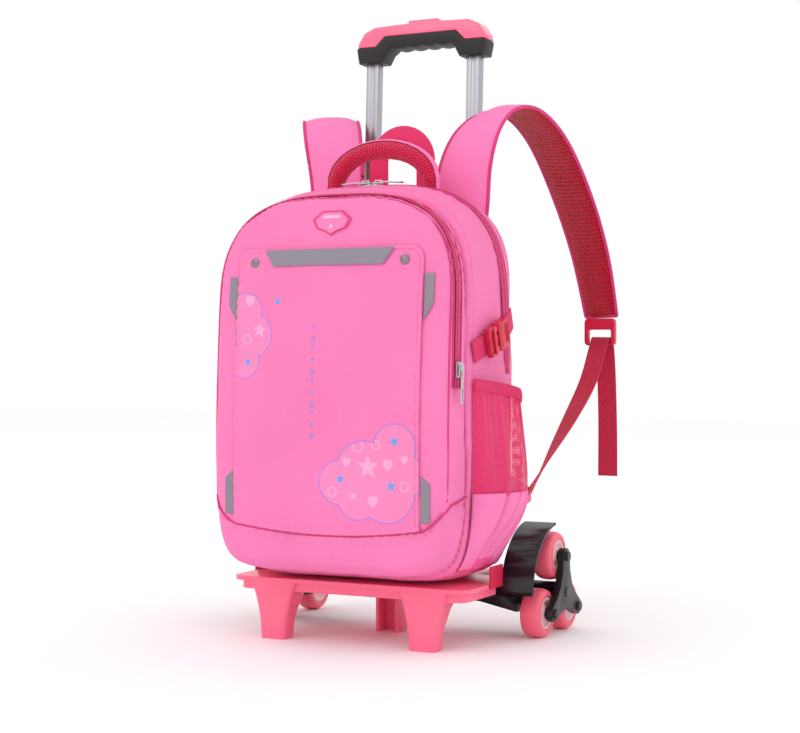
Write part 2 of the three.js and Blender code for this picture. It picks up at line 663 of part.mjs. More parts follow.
// A band that follows a compartment's skin over the top, from one side's low end to the other's
function zipperBand(size, rings, low, depthAt, width, outward, inward, longer = 0) {
  const flat = { side: 0, top: 0, foot: 0 };
  const first = unitOutline.findIndex((unit) => unit.x > 0 && ringPoint(size, flat, unit)[1] > low);
  const path = unitOutline.slice(first, OUTLINE.points - first + 1);
  return loft(path.map((unit, i) => {
    const height = ringPoint(size, flat, unit)[1];
    const drop = i === 0 || i === path.length - 1 ? longer : 0;
    const y = depthAt(height);
    const row = rowAt(rings, Math.abs(y) / thinned(size, size.depth, height));
    return [[-1, -outward], [1, -outward], [1, inward], [-1, inward]].map(([edge, push]) => {
      const [x, z] = ringPoint(size, row, unit, push);
      return new THREE.Vector3(x, y + (edge * width) / 2, z - drop);
    });
  }));
}

const frontZipDepth = (z) => -thinned(POCKET, FRONT_ZIP.depth, z);
const mainZipDepth = (z) => {
  const share = THREE.MathUtils.clamp((BAG.top - z) / (BAG.top - MAIN_ZIP.low), 0, 1);
  return THREE.MathUtils.lerp(MAIN_ZIP.topDepth, MAIN_ZIP.lowDepth, Math.sqrt(share));
};

function openedShell(outer, inner, band) {
  return surface(cut(solid(outer), [inner, band]));
}

const slotReach = 6; // how far a zipper's slot is cut to each side of the skin
const slotFor = (size, rings, zip, depthAt) => zipperBand(size, rings, zip.low, depthAt,
  zip.width, slotReach, slotReach, 2 * CLOTH_GAP);
const tapeFor = (size, rings, zip, depthAt) => zipperBand(size, rings, zip.low, depthAt,
  zip.width - 2 * CLOTH_GAP, -ZIP_TAPE.sink, ZIP_TAPE.sink + ZIP_TAPE.thickness);
place(bag, 'bag_main', openedShell(mainBody(0), mainBody(BAG.wall), slotFor(BAG, MAIN_RINGS, MAIN_ZIP, mainZipDepth)),
  bagCloth);
place(bag, 'front_pocket', openedShell(frontBody(0, 0), frontBody(POCKET.wall, 5),
  slotFor(POCKET, FRONT_RINGS, FRONT_ZIP, frontZipDepth)), bagCloth);
place(bag, 'main_zipper', tapeFor(BAG, MAIN_RINGS, MAIN_ZIP, mainZipDepth), tape);
place(bag, 'front_zipper', tapeFor(POCKET, FRONT_RINGS, FRONT_ZIP, frontZipDepth), tape);

// Flap panel over the front compartment, with its rivets and reflective strips

const flapFoot = (x) => FLAP.side - FLAP.dip * (1 - (x / FLAP.halfWidth) ** 2);
const flapTop = (x) => {
  const over = Math.max(0, Math.abs(x) - (FLAP.halfWidth - FLAP.corner));
  return FLAP.top - FLAP.corner + Math.sqrt(FLAP.corner ** 2 - over ** 2);
};
const flapFace = (x, z, lift) => new THREE.Vector3(x, frontSkin(x, z) - FLAP.gap - lift, z);
const onFlap = FLAP.thickness + CLOTH_GAP;

function flap() {
  const face = (lift) => grid(8, 8, (i, j) => {
    const x = (2 * i - 1) * FLAP.halfWidth;
    return flapFace(x, THREE.MathUtils.lerp(flapFoot(x), flapTop(x), j), lift);
  });
  return wall(face(FLAP.thickness), face(0));
}

// A strip on the flap between two heights at each of its two edges
function strip(x0, x1, low, high) {
  const face = (lift) => grid(2, 6, (i, j) => {
    const x = THREE.MathUtils.lerp(x0, x1, i);
    return flapFace(x, THREE.MathUtils.lerp(low(x), high(x), j), onFlap + lift);
  });
  return wall(face(REFLECTOR.thickness), face(0));
}

function topReflector() {
  const face = (lift) => grid(2, 6, (i, j) => {
    const half = REFLECTOR.topHalfWidth - REFLECTOR.taper * (1 - i);
    return flapFace((2 * j - 1) * half, FLAP.top - 2 - REFLECTOR.height * (1 - i), onFlap + lift);
  });
  return wall(face(REFLECTOR.thickness), face(0));
}

place(bag, 'front_panel', flap(), bagCloth);
place(bag, 'reflector_top', topReflector(), reflective);
sides.forEach(([side, sign]) => {
  const edge = FLAP.halfWidth - 2;
  const slope = (x) => (edge - Math.abs(x)) * 0.6;
  const [upperTop, upperFoot] = [FLAP.top - 28, FLAP.top - 80];
  const [lowerTop, lowerFoot] = [FLAP.side + 30, FLAP.side - 20];
  const upper = strip(edge - REFLECTOR.width, edge, (x) => upperFoot + slope(x), () => upperTop);
  const lower = strip(edge - REFLECTOR.width, edge, (x) => Math.max(lowerFoot, flapFoot(x) + 4), (x) => lowerTop - slope(x));
  place(bag, `reflector_upper_${side}`, mirrored(upper, sign), reflective);
  place(bag, `reflector_lower_${side}`, mirrored(lower, sign), reflective);
  const rivet = new THREE.LatheGeometry([
    [0, 0], [RIVET.radius, 0], [RIVET.radius, RIVET.height * 0.4], [RIVET.radius * 0.6, RIVET.height], [0, RIVET.height],
  ].map(([r, h]) => new THREE.Vector2(r, h)), 12).rotateX(Math.PI);
  const [x, z] = [FLAP.halfWidth - RIVET.inset, FLAP.top - RIVET.drop];
  rivet.translate(sign * x, frontSkin(x, z - RIVET.radius) - FLAP.gap - FLAP.thickness - CLEARANCE, z);
  place(bag, `rivet_${side}`, rivet, chrome);
});

function badge() {
  const halfWidthAt = (share) => (BADGE.width / 2) * Math.sqrt(1 - 0.75 * Math.abs(2 * share - 1.1) ** 3);
  const face = (lift) => grid(4, 6, (i, j) => {
    const x = (2 * j - 1) * halfWidthAt(i);
    const z = BADGE.centre + BADGE.height * (i - 0.5);
    return new THREE.Vector3(x, frontSkin(x, z) - CLOTH_GAP - lift, z);
  });
  return wall(face(BADGE.thickness), face(0));
}

place(bag, 'badge', badge(), badgeRubber);

// Zipper sliders with their pulls

function sliderAndPull(hang) {
  const bodyBox = block(-SLIDER.width / 2, SLIDER.width / 2, -SLIDER.height, 0, -SLIDER.length / 2, SLIDER.length / 2);
  const pull = block(-PULL.width / 2, PULL.width / 2, -SLIDER.height - PULL.thickness, 0.5 - SLIDER.height,
    hang * PULL.length, SLIDER.length * 0.2);
  return surface(joined([bodyBox, pull]));
}

function seated(geometry, x, y, z, turnX, turnZ) {
  return geometry.rotateX(turnX).rotateZ(turnZ).translate(x, y, z);
}

const pocketSide = POCKET.halfWidth + ZIP_TAPE.sink + CLOTH_GAP;
place(bag, 'front_slider', seated(sliderAndPull(-1), pocketSide, frontZipDepth(FRONT_ZIP.low + 12),
  FRONT_ZIP.low + 12, 0, Math.PI / 2), chrome);
sides.forEach(([side, sign]) => {
  const lies = sliderAndPull(-0.7).rotateX(-Math.PI / 2).rotateZ(sign * Math.PI / 2);
  const x = sign * (SLIDER.length / 2 + 1.5);
  place(bag, `main_slider_${side}`, lies.translate(x, MAIN_ZIP.topDepth, BAG.top - ZIP_TAPE.sink), chrome);
});

// What is sewn to the main compartment is cut back to leave the seam's gap.
const bagClear = mainBody(-CLOTH_GAP);
const offTheBag = (geometry) => surface(cut(solid(geometry), [bagClear]));

// Side pockets: net above, a pleated cloth base below, both sewn to the bag's side

const pocketHem = (share) => SIDE_POCKET.hem - SIDE_POCKET.hemDrop * share;
const guardClear = GUARD.radius + 2;

// The cloth base keeps in front of the wheel guard, whose outline is a circle.
function pocketBack(z) {
  const drop = z - clusterHeight;
  const circle = drop < guardClear ? CLUSTER.y - Math.sqrt(guardClear ** 2 - drop ** 2) : SIDE_POCKET.back;
  return Math.min(SIDE_POCKET.back, circle);
}

function pocketPoint(share, z, bulge, lift) {
  const y = THREE.MathUtils.lerp(SIDE_POCKET.front, pocketBack(z), share);
  const swell = bulge * Math.sin(Math.PI * share) ** 0.7;
  return new THREE.Vector3(sideSkin(y, z) + CLOTH_GAP + swell + lift, y, z);
}

function netPocket() {
  const face = (lift) => grid(6, 10, (i, j) => {
    const hem = pocketHem(j);
    const z = THREE.MathUtils.lerp(SIDE_POCKET.join + CLEARANCE, hem, i);
    const bulge = THREE.MathUtils.lerp(SIDE_POCKET.bulge, SIDE_POCKET.hemBulge, i ** 1.5);
    const gather = i < 1 ? Math.cos(j * 10 * Math.PI) : 0;
    return pocketPoint(j, z, bulge + gather * (1 - i), lift);
  });
  return offTheBag(wall(face(SIDE_POCKET.net), face(0)));
}

function clothBase() {
  const face = (lift) => grid(5, 4 * SIDE_POCKET.folds, (i, j) => {
    const z = THREE.MathUtils.lerp(SIDE_POCKET.bottom, SIDE_POCKET.join, i);
    const fold = SIDE_POCKET.foldDepth * Math.cos(2 * Math.PI * SIDE_POCKET.folds * j) * Math.sin(Math.PI * j);
    const fade = Math.sin(Math.PI * THREE.MathUtils.lerp(0.1, 0.9, i));
    return pocketPoint(j, z, SIDE_POCKET.bulge * (0.25 + 0.75 * i ** 0.6) + fold * fade, lift);
  });
  const skin = wall(face(SIDE_POCKET.cloth), face(0));
  const floor = (lift) => grid(1, 8, (i, j) => {
    const rim = pocketPoint(j, SIDE_POCKET.bottom, SIDE_POCKET.bulge * 0.25, SIDE_POCKET.cloth);
    const seam = sideSkin(rim.y, SIDE_POCKET.bottom) + CLOTH_GAP;
    return new THREE.Vector3(THREE.MathUtils.lerp(seam, rim.x, i), rim.y, SIDE_POCKET.bottom + lift);
  });
  return surface(cut(joined([skin, wall(floor(SIDE_POCKET.cloth), floor(0))]), [bagClear]));
}

sides.forEach(([side, sign]) => {
  place(bag, `mesh_pocket_${side}`, mirrored(netPocket(), sign), net);
  place(bag, `pocket_base_${side}`, mirrored(clothBase(), sign), bagCloth);
});

// Side compression straps with their buckles, and the ties that hold the bag to the plate

function sideStrap() {
  const face = (lift) => grid(12, 2, (i, j) => {
    const y = THREE.MathUtils.lerp(SIDE_POCKET.front, SIDE_POCKET.back, i);
    const z = THREE.MathUtils.lerp(SIDE_STRAP.frontHeight, SIDE_STRAP.backHeight, i) + (j - 0.5) * SIDE_STRAP.width;
    return new THREE.Vector3(sideSkin(y, z) + CLOTH_GAP + lift, y, z);
  });
  return offTheBag(wall(face(SIDE_STRAP.thickness), face(0)));
}

function sideBuckle() {
  const shape = roundedBox(SIDE_BUCKLE.length / 2, SIDE_BUCKLE.width / 2, 6);
  const rise = SIDE_STRAP.backHeight - SIDE_STRAP.frontHeight;
  const centre = SIDE_BUCKLE.start + SIDE_BUCKLE.length / 2;
  const inner = BAG.halfWidth + 2 * CLOTH_GAP + SIDE_STRAP.thickness;
  return plateOf(shape, SIDE_BUCKLE.thickness, 3)
    .rotateY(Math.PI / 2)
    .rotateX(Math.PI / 2)
    .rotateX(Math.atan2(rise, SIDE_POCKET.back))
    .translate(inner, centre, SIDE_STRAP.frontHeight + (rise * centre) / SIDE_POCKET.back);
}

sides.forEach(([side, sign]) => {
  place(bag, `side_strap_${side}`, mirrored(sideStrap(), sign), webbing);
  place(bag, `side_buckle_${side}`, mirrored(sideBuckle(), sign), redPlastic);
  const tieFoot = BASE.top - BASE.plate;
  const inner = BASE.halfWidth + CLEARANCE;
  const tie = block(inner, inner + TIE.thickness, TIE.start, Math.min(TIE.start + TIE.width, BASE.widePart - 1),
    tieFoot, SIDE_POCKET.bottom - CLEARANCE);
  place(bag, `tie_strap_${side}`, mirrored(tie, sign), webbing);
});

// Carry handle: a padded roll with a cloth cover over its back and top

const handleFoot = BAG.top - HANDLE.sink;
const handlePath = (share) => {
  const angle = Math.PI * share;
  const lift = Math.sin(angle) ** 0.8;
  return new THREE.Vector3(-Math.cos(angle) * HANDLE.halfSpan, HANDLE.depth, handleFoot + lift * HANDLE.rise);
};

function alongHandle(share) {
  const step = 0.01;
  const ahead = handlePath(Math.min(1, share + step));
  const behind = handlePath(Math.max(0, share - step));
  const tangent = ahead.sub(behind).normalize();
  return { centre: handlePath(share), outward: new THREE.Vector3(-tangent.z, 0, tangent.x) };
}

function handleRing(share, radius, from, to, steps) {
  const { centre, outward } = alongHandle(share);
  return Array.from({ length: steps }, (_, k) => {
    const angle = THREE.MathUtils.lerp(from, to, k / (steps - 1));
    return centre.clone()
      .addScaledVector(outward, radius * Math.cos(angle))
      .add(new THREE.Vector3(0, radius * Math.sin(angle), 0));
  });
}

const handleSteps = 12;

function handlePad() {
  const sidesRound = 10;
  const turn = (2 * Math.PI * (sidesRound - 1)) / sidesRound;
  const radius = HANDLE.thickness / 2 - HANDLE.cover - HANDLE.gap;
  const rings = Array.from({ length: handleSteps + 1 }, (_, i) => handleRing(i / handleSteps, radius, 0, turn, sidesRound));
  return offTheBag(loft(rings));
}

function handleCover() {
  const [from, to] = [-0.25 * Math.PI, 0.75 * Math.PI];
  const face = (radius) => Array.from({ length: handleSteps + 1 }, (_, i) => handleRing(i / handleSteps, radius, from, to, 6));
  const wrap = wall(face(HANDLE.thickness / 2), face(HANDLE.thickness / 2 - HANDLE.cover));
  return offTheBag(wrap);
}

place(bag, 'handle_pad', handlePad(), mesh3d);
place(bag, 'handle_cover', handleCover(), bagCloth);

// Hanging loop of flat webbing behind the handle

function hangLoop() {
  const crown = LOOP.top - LOOP.outer;
  const foot = BAG.top - LOOP.sewn; // its ends are sewn to the bag's back below the top edge
  const depth = thinned(BAG, BAG.depth + BAG.swell / 2, foot) + CLOTH_GAP;
  const shape = new THREE.Shape();
  shape.moveTo(LOOP.outer, foot);
  shape.absarc(0, crown, LOOP.outer, 0, Math.PI);
  shape.lineTo(-LOOP.outer, foot);
  shape.lineTo(LOOP.width - LOOP.outer, foot);
  shape.absarc(0, crown, LOOP.outer - LOOP.width, Math.PI, 0, true);
  shape.lineTo(LOOP.outer - LOOP.width, foot);
  return pulledAlongY(shape, depth, depth + LOOP.thickness, 8);
}

place(bag, 'hang_loop', hangLoop(), webbing);

// Shoulder straps: each is a padded band along its own path, with a flat webbing below it

// Path of the padded band, right side; turn is the angle of its width from X, in degrees
const STRAP_PATH = [
  { x: 82, y: 128, z: 498, width: 68, turn: 0 },
  { x: 86, y: 131, z: 545, width: 68, turn: 5 },
  { x: 97, y: 143, z: 585, width: 68, turn: 16 },
  { x: 113, y: 166, z: 609, width: 67, turn: 26 },
  { x: 130, y: 198, z: 609, width: 66, turn: 28 },
  { x: 145, y: 240, z: 578, width: 64, turn: 24 },
  { x: 156, y: 290, z: 516, width: 60, turn: 18 },
  { x: 164, y: 330, z: 446, width: 54, turn: 14 },
  { x: 170, y: 353, z: 372, width: 46, turn: 10 },
];

function swept(path, key, steps, section) {
  const curve = new THREE.CatmullRomCurve3(path.map(({ x, y, z }) => new THREE.Vector3(x, y, z)));
  const rings = Array.from({ length: steps + 1 }, (_, i) => {
    const share = i / steps;
    const place = share * (path.length - 1);
    const from = path[Math.floor(place)];
    const to = path[Math.ceil(place)];
    const mix = (name) => THREE.MathUtils.lerp(from[name], to[name], place % 1);
    const turn = THREE.MathUtils.degToRad(mix('turn'));
    const tangent = curve.getTangent(share);
    const across = new THREE.Vector3(Math.cos(turn), -Math.sin(turn), 0);
    across.addScaledVector(tangent, -across.dot(tangent)).normalize();
    const normal = tangent.clone().cross(across);
    const centre = curve.getPoint(share);
    return section(mix(key)).map(([along, out]) => centre.clone()
      .addScaledVector(across, along)
      .addScaledVector(normal, out));
  });
  return loft(rings);
}

const padSection = (width) => {
  const [w, t] = [width / 2, STRAP.thickness / 2];
  return [[-w, -t * 0.3], [-w * 0.9, -t], [w * 0.9, -t], [w, -t * 0.3],
    [w, t * 0.3], [w * 0.9, t], [-w * 0.9, t], [-w, t * 0.3]];
};

function strapPad() {
  return offTheBag(swept(STRAP_PATH, 'width', STRAP.steps, padSection));
}

// Webbing from the bag's lower corner up to the buckle, over its bar, and the free tail
const padEnd = STRAP_PATH.at(-1);
const WEB_PATH = [
  { x: 161, y: 139, z: 163, width: 1, turn: 80 },
  { x: 164, y: 190, z: 200, width: 1, turn: 62 },
  { x: 167, y: 250, z: 244, width: 1, turn: 35 },
  { x: 170, y: 305, z: 290, width: 1, turn: 12 },
  { x: 171, y: 336, z: 330, width: 1, turn: 8 },
  { x: 171, y: 350, z: 345, width: 1, turn: 6 },
  { x: 172, y: 358, z: 338, width: 1, turn: 5 },
  { x: 174, y: 360, z: 300, width: 1, turn: 4 },
  { x: 176, y: 360, z: 235, width: 1, turn: 2 },
  { x: 176, y: 360, z: 172, width: 1, turn: 0 },
];

const webSection = (share) => {
  const [w, t] = [(share * WEBBING.width) / 2, WEBBING.thickness / 2];
  return [[-w, -t], [w, -t], [w, t], [-w, t]];
};

function strapBuckle() {
  const outline = roundedBox(STRAP.buckleWidth / 2, STRAP.buckleHeight / 2, 5);
  const window = roundedBox(STRAP.buckleWidth / 2 - 5, STRAP.buckleHeight / 4, 2);
  const frame = plateOf(outline, STRAP.buckleThickness, 3);
  const opening = plateOf(window, STRAP.buckleThickness * 3, 2).translate(0, -STRAP.buckleHeight / 6, -STRAP.buckleThickness);
  return surface(cut(solid(frame), [opening]))
    .rotateX(Math.PI / 2)
    .translate(padEnd.x, padEnd.y, padEnd.z - STRAP.buckleHeight / 2 - STRAP.buckleDrop);
}

sides.forEach(([side, sign]) => {
  place(bag, `shoulder_strap_${side}`, mirrored(strapPad(), sign), bagCloth);
  place(bag, `strap_buckle_${side}`, mirrored(strapBuckle(), sign), redPlastic);
  place(bag, `strap_webbing_${side}`, mirrored(swept(WEB_PATH, 'width', 30, webSection), sign), webbing);
});

const backpack = new THREE.Group();
backpack.add(bag, trolley);
backpack.updateMatrixWorld(true);
const extent = new THREE.Box3().setFromObject(backpack, true);
backpack.position.y = -(extent.min.y + extent.max.y) / 2;

export default backpack;
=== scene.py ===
# Looks of a child's wheeled backpack: sewn bag, straps, net pockets and its small trolley.
# Metres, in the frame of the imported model. The front of the bag faces -Y.
import json
import math

import bmesh
import bpy
from mathutils import Matrix, Vector, noise

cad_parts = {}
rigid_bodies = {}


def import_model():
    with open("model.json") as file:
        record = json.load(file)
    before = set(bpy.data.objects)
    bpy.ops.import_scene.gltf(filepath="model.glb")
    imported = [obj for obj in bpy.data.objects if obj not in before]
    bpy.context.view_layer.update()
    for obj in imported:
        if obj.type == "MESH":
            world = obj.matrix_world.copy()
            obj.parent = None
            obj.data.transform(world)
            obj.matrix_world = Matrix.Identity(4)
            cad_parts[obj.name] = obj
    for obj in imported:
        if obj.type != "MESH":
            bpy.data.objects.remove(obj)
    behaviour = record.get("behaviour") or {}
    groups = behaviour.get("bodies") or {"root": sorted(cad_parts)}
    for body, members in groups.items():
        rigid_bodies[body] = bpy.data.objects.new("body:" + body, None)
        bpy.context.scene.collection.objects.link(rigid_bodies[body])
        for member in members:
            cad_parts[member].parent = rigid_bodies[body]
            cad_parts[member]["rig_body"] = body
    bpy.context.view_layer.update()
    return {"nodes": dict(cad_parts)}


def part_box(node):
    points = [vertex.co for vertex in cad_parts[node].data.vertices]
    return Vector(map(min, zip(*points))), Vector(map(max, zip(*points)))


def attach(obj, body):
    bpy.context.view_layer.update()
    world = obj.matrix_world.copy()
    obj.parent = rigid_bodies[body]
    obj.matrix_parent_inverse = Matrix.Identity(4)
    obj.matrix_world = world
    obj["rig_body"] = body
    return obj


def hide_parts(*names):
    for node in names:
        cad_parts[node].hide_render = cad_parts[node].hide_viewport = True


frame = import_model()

bl_info = {
    "name": "Wheeled backpack",
    "version": (1, 0, 0),
    "blender": (4, 5, 0),
    "location": "3D View > Sidebar > Backpack",
    "description": "Builds the cloth, net, webbing and trolley finishes of a child's wheeled backpack",
    "category": "Object",
}

MM = 0.001
SIDES = (("right", 1), ("left", -1))
# Depths are measured back from the seam between the two compartments.
SEAM_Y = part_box("front_pocket")[1][1]

# Shared shape of the two compartments

BAG = {"half": 0.152, "top": 0.518, "bottom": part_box("bag_main")[0][2], "depth": 0.14, "lean": 0.05}
POCKET = {"half": 0.149, "top": 0.502, "bottom": 0.084, "depth": 0.05, "lean": 0.5}
CROWN, CORNER = 3, 8  # superellipse powers of the arched top and of the base
MIDDLE_SHARE = 0.69  # where the straight sides turn into the arch, as a share of the height
LEAN_FROM = 0.228
# Insets in mm of each ring; depth is a share of the compartment's own, scale shrinks the rings of a face
MAIN_RINGS = (
    # depth, side, top, foot, scale
    (0.0, 6, 6, 6, 0.3), (0.0, 9, 15, 13, 0.92), (0.0, 7, 15, 12, 1), (0.06, 1.5, 8, 4, 1),
    (0.3, 0, 2, 0, 1),
    (0.55, 0, 0, 0, 1), (0.78, 2, 2, 0, 1), (0.9, 6, 8, 4, 1), (0.97, 15, 18, 12, 1), (1.0, 30, 34, 26, 1),
    (1.005, 18, 20, 16, 0.6), (1.01, 6, 7, 5, 0.2),
)
FRONT_RINGS = (
    (0.0, 4, 4, 4, 0.3), (0.0, 5, 6, 5, 0.95), (0.0, 3, 4, 3, 1), (0.12, 0, 0, 0, 1), (0.45, 0, 0, 0, 1),
    (0.74, 2, 2, 2, 1), (0.88, 7, 8, 8, 1), (0.95, 15, 18, 18, 1), (0.98, 20, 22, 22, 0.88),
    (1.0, 20, 22, 22, 0.6), (1.01, 12, 14, 14, 0.3), (1.015, 6, 6, 6, 0.1),
)
MAIN_ZIP = {"half_width": 0.006, "top": 0.062, "low_depth": 0.104, "low": 0.33}
FRONT_ZIP = {"half_width": 0.0045, "depth": 0.027, "low": 0.297}
CLUSTER_CENTRE = (0.182, 0.049)  # depth and height of the wheel clusters
GUARD_REACH = 0.084  # the guard's radius with a little room
STITCH = (0.0023, 0.0007, 0.0005)  # length, width and height of one stitch
TOOTH = (0.0014, 0.0030, 0.0016)  # along, across and height of one zipper tooth
FLAP = {"half": 0.116, "top": 0.443, "side": 0.139, "dip": 0.011, "corner": 0.016, "thickness": 0.002,
        "gap": 0.0011}
SIDE_POCKET = {"front": 0.0085, "back": 0.126, "hem": 0.297, "hem_drop": 0.018, "join": 0.172,
               "bottom": 0.090}
STRAP_PATH = (
    # x, depth, height, width, turn of the width from X in degrees; the first is inside the bag
    (0.080, 0.124, 0.462, 0.068, 0), (0.082, 0.128, 0.498, 0.068, 0), (0.086, 0.131, 0.545, 0.068, 5),
    (0.097, 0.143, 0.585, 0.068, 16),
    (0.113, 0.166, 0.609, 0.067, 26), (0.130, 0.198, 0.609, 0.066, 28), (0.145, 0.240, 0.578, 0.064, 24),
    (0.156, 0.290, 0.516, 0.060, 18), (0.164, 0.330, 0.446, 0.054, 14), (0.170, 0.353, 0.372, 0.046, 10),
)
WEB_PATH = (
    (0.161, 0.139, 0.163, 0.025, 80), (0.164, 0.190, 0.200, 0.025, 62), (0.167, 0.250, 0.244, 0.025, 35),
    (0.170, 0.305, 0.290, 0.025, 12), (0.171, 0.336, 0.330, 0.025, 8), (0.171, 0.350, 0.345, 0.025, 6),
    (0.172, 0.358, 0.338, 0.025, 5), (0.174, 0.360, 0.300, 0.025, 4), (0.176, 0.360, 0.235, 0.025, 2),
    (0.176, 0.360, 0.172, 0.025, 0),
)


def lerp(a, b, share):
    """The value a share of the way from a to b."""
    return a + (b - a) * share


def clamp(value, low=0.0, high=1.0):
    """The value kept between low and high."""
    return min(max(value, low), high)


def ease(value):
    """A smooth step from 0 to 1."""
    value = clamp(value)
    return value * value * (3 - 2 * value)


def bump_at(value, centre, half_width):
    """1 at centre, easing to 0 at half_width from it."""
    return 1 - ease(abs(value - centre) / half_width)


def dense_outline(steps=1440):
    """The unit outline, with points shared out by length and by turning."""
    def power(value, exponent):
        return math.copysign(abs(value) ** (2 / exponent), value)
    raw = []
    for i in range(steps):
        angle = 2 * math.pi * i / steps - math.pi / 2
        exponent = CROWN if math.sin(angle) > 0 else CORNER
        raw.append(Vector((power(math.cos(angle), exponent), power(math.sin(angle), exponent))))
    measure = [0.0]
    for i, point in enumerate(raw):
        ahead, after = raw[(i + 1) % steps], raw[(i + 2) % steps]
        first, second = ahead - point, after - ahead
        turn = abs(first.angle(second, 0.0)) if first.length and second.length else 0.0
        measure.append(measure[-1] + first.length / 4 + turn / (2 * math.pi))
    return raw, measure


OUTLINE, MEASURE = dense_outline()


def outline(share):
    """Unit outline point at a share of the way round, from the bottom up the right side."""
    target = (share % 1.0) * MEASURE[-1]
    low, high = 0, len(MEASURE) - 1
    while high - low > 1:
        middle = (low + high) // 2
        low, high = (middle, high) if MEASURE[middle] <= target else (low, middle)
    span = MEASURE[high] - MEASURE[low]
    return OUTLINE[low].lerp(OUTLINE[high % len(OUTLINE)], (target - MEASURE[low]) / span if span else 0)


def middle_of(size):
    """Height at which a compartment is widest."""
    return size["bottom"] + (size["top"] - size["bottom"]) * MIDDLE_SHARE


def thinned(size, depth, height):
    """A depth that lessens towards the top, where the bag leans in."""
    rise = clamp((height - LEAN_FROM) / (BAG["top"] - LEAN_FROM))
    return depth * (1 - size["lean"] * rise ** 1.6)


def row_at(rings, place):
    """Smooth row between the rows of a table, place counting rows."""
    place = clamp(place, 0, len(rings) - 1)
    i = min(int(place), len(rings) - 2)
    t = place - i
    p = [rings[max(0, min(len(rings) - 1, k))] for k in (i - 1, i, i + 1, i + 2)]
    return [
        0.5 * (2 * b + (c - a) * t + (2 * a - 5 * b + 4 * c - d) * t * t + (3 * b - a - 3 * c + d) * t ** 3)
        for a, b, c, d in zip(*p)
    ]


def ring_point(size, row, unit):
    """The x and height of one point of a ring."""
    _, side, top, foot, scale = row
    middle = middle_of(size)
    reach = (size["top"] - middle) if unit[1] > 0 else (middle - size["bottom"])
    inset = (top if unit[1] > 0 else foot) * MM
    return unit[0] * (size["half"] * scale - side * MM), middle + unit[1] * (reach * scale - inset)


def skin_depth(size, rings, x, z):
    """Depth share at which a compartment's rings meet (x, z)."""
    middle = middle_of(size)
    upper = z > middle
    exponent = CROWN if upper else CORNER
    first = 2
    last = None
    for k in range(first, len(rings)):
        half, _ = ring_point(size, rings[k], (1, 0))
        _, end = ring_point(size, rings[k], (0, 1 if upper else -1))
        value = (abs(x) / half) ** exponent + (abs(z - middle) / abs(end - middle)) ** exponent
        if last is not None and value >= 1:
            share = clamp((1 - last) / (value - last)) if value > last else 0
            return lerp(rings[k - 1][0], rings[k][0], share)
        last = value
    return rings[-1][0]


def front_skin(x, z):
    """Depth of the front compartment's face, as a negative distance from the seam."""
    return -thinned(POCKET, POCKET["depth"] * skin_depth(POCKET, FRONT_RINGS, x, z), z)


def side_skin(depth, z):
    """Half width of the main compartment at a depth and height."""
    share = clamp(depth / thinned(BAG, BAG["depth"], z))
    rows = MAIN_RINGS[2:10]
    k = next((i for i in range(1, len(rows)) if rows[i][0] >= share - 1e-9), len(rows) - 1)
    t = (share - rows[k - 1][0]) / (rows[k][0] - rows[k - 1][0])
    row = [lerp(a, b, t) for a, b in zip(rows[k - 1], rows[k])]
    middle = middle_of(BAG)
    upper = z > middle
    _, end = ring_point(BAG, row, (0, 1 if upper else -1))
    exponent = CROWN if upper else CORNER
    height = min(abs(z - middle) / abs(end - middle), 0.999)
    return (BAG["half"] - row[1] * MM) * (1 - height ** exponent) ** (1 / exponent)


def main_zip_depth(z):
    """Depth of the main zipper at a height."""
    share = clamp((BAG["top"] - z) / (BAG["top"] - MAIN_ZIP["low"]))
    return lerp(MAIN_ZIP["top"], MAIN_ZIP["low_depth"], math.sqrt(share))


def front_zip_depth(z):
    """Depth of the front zipper at a height."""
    return -thinned(POCKET, FRONT_ZIP["depth"], z)


def world(x, depth, z):
    """A point of the frame from its x, its depth behind the seam and its height."""
    return Vector((x, SEAM_Y + depth, z))


# Meshes

def finished(bm, name, material, body="root", replaces=(), smooth=True):
    """A mesh object from a bmesh, riding on its body."""
    mesh = bpy.data.meshes.new(name)
    bm.to_mesh(mesh)
    bm.free()
    mesh.polygons.foreach_set("use_smooth", [smooth] * len(mesh.polygons))
    piece = bpy.data.objects.new(name, mesh)
    bpy.context.scene.collection.objects.link(piece)
    for finish in material if isinstance(material, (list, tuple)) else [material]:
        mesh.materials.append(finish)
    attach(piece, body)
    if replaces:
        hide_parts(*replaces)
    return piece


def outward(bm, distance=1e-6):
    """Joins doubled points and turns every face outwards."""
    bmesh.ops.remove_doubles(bm, verts=bm.verts[:], dist=distance)
    bmesh.ops.recalc_face_normals(bm, faces=bm.faces[:])


def sheet_grid(columns, rows, place, size=None):
    """A grid whose point at (u, v) is place(u, v); its UV map holds metres when size is given."""
    bm = bmesh.new()
    bmesh.ops.create_grid(bm, x_segments=columns, y_segments=rows, size=0.5)
    uv = bm.loops.layers.uv.new("cloth")
    shares = {vert.index: (vert.co.x + 0.5, vert.co.y + 0.5) for vert in bm.verts}
    for face in bm.faces:
        for loop in face.loops:
            u, v = shares[loop.vert.index]
            loop[uv].uv = size(u, v) if size else (u, v)
    for vert in bm.verts:
        vert.co = place(*shares[vert.index])
    return bm


def thickened(piece, thickness, offset=0.0, bevel=0.0):
    """Gives a sheet its wall, and its edges a small rounding."""
    wall = piece.modifiers.new("wall", "SOLIDIFY")
    wall.thickness = thickness
    wall.offset = offset
    wall.use_even_offset = False
    if bevel:
        edge = piece.modifiers.new("edge", "BEVEL")
        edge.width = bevel
        edge.segments = 2
        edge.limit_method = "ANGLE"
        edge.angle_limit = math.radians(50)
    return piece


def area_of(piece):
    """Area of a mesh, in square metres."""
    return sum(polygon.area for polygon in piece.data.polygons)


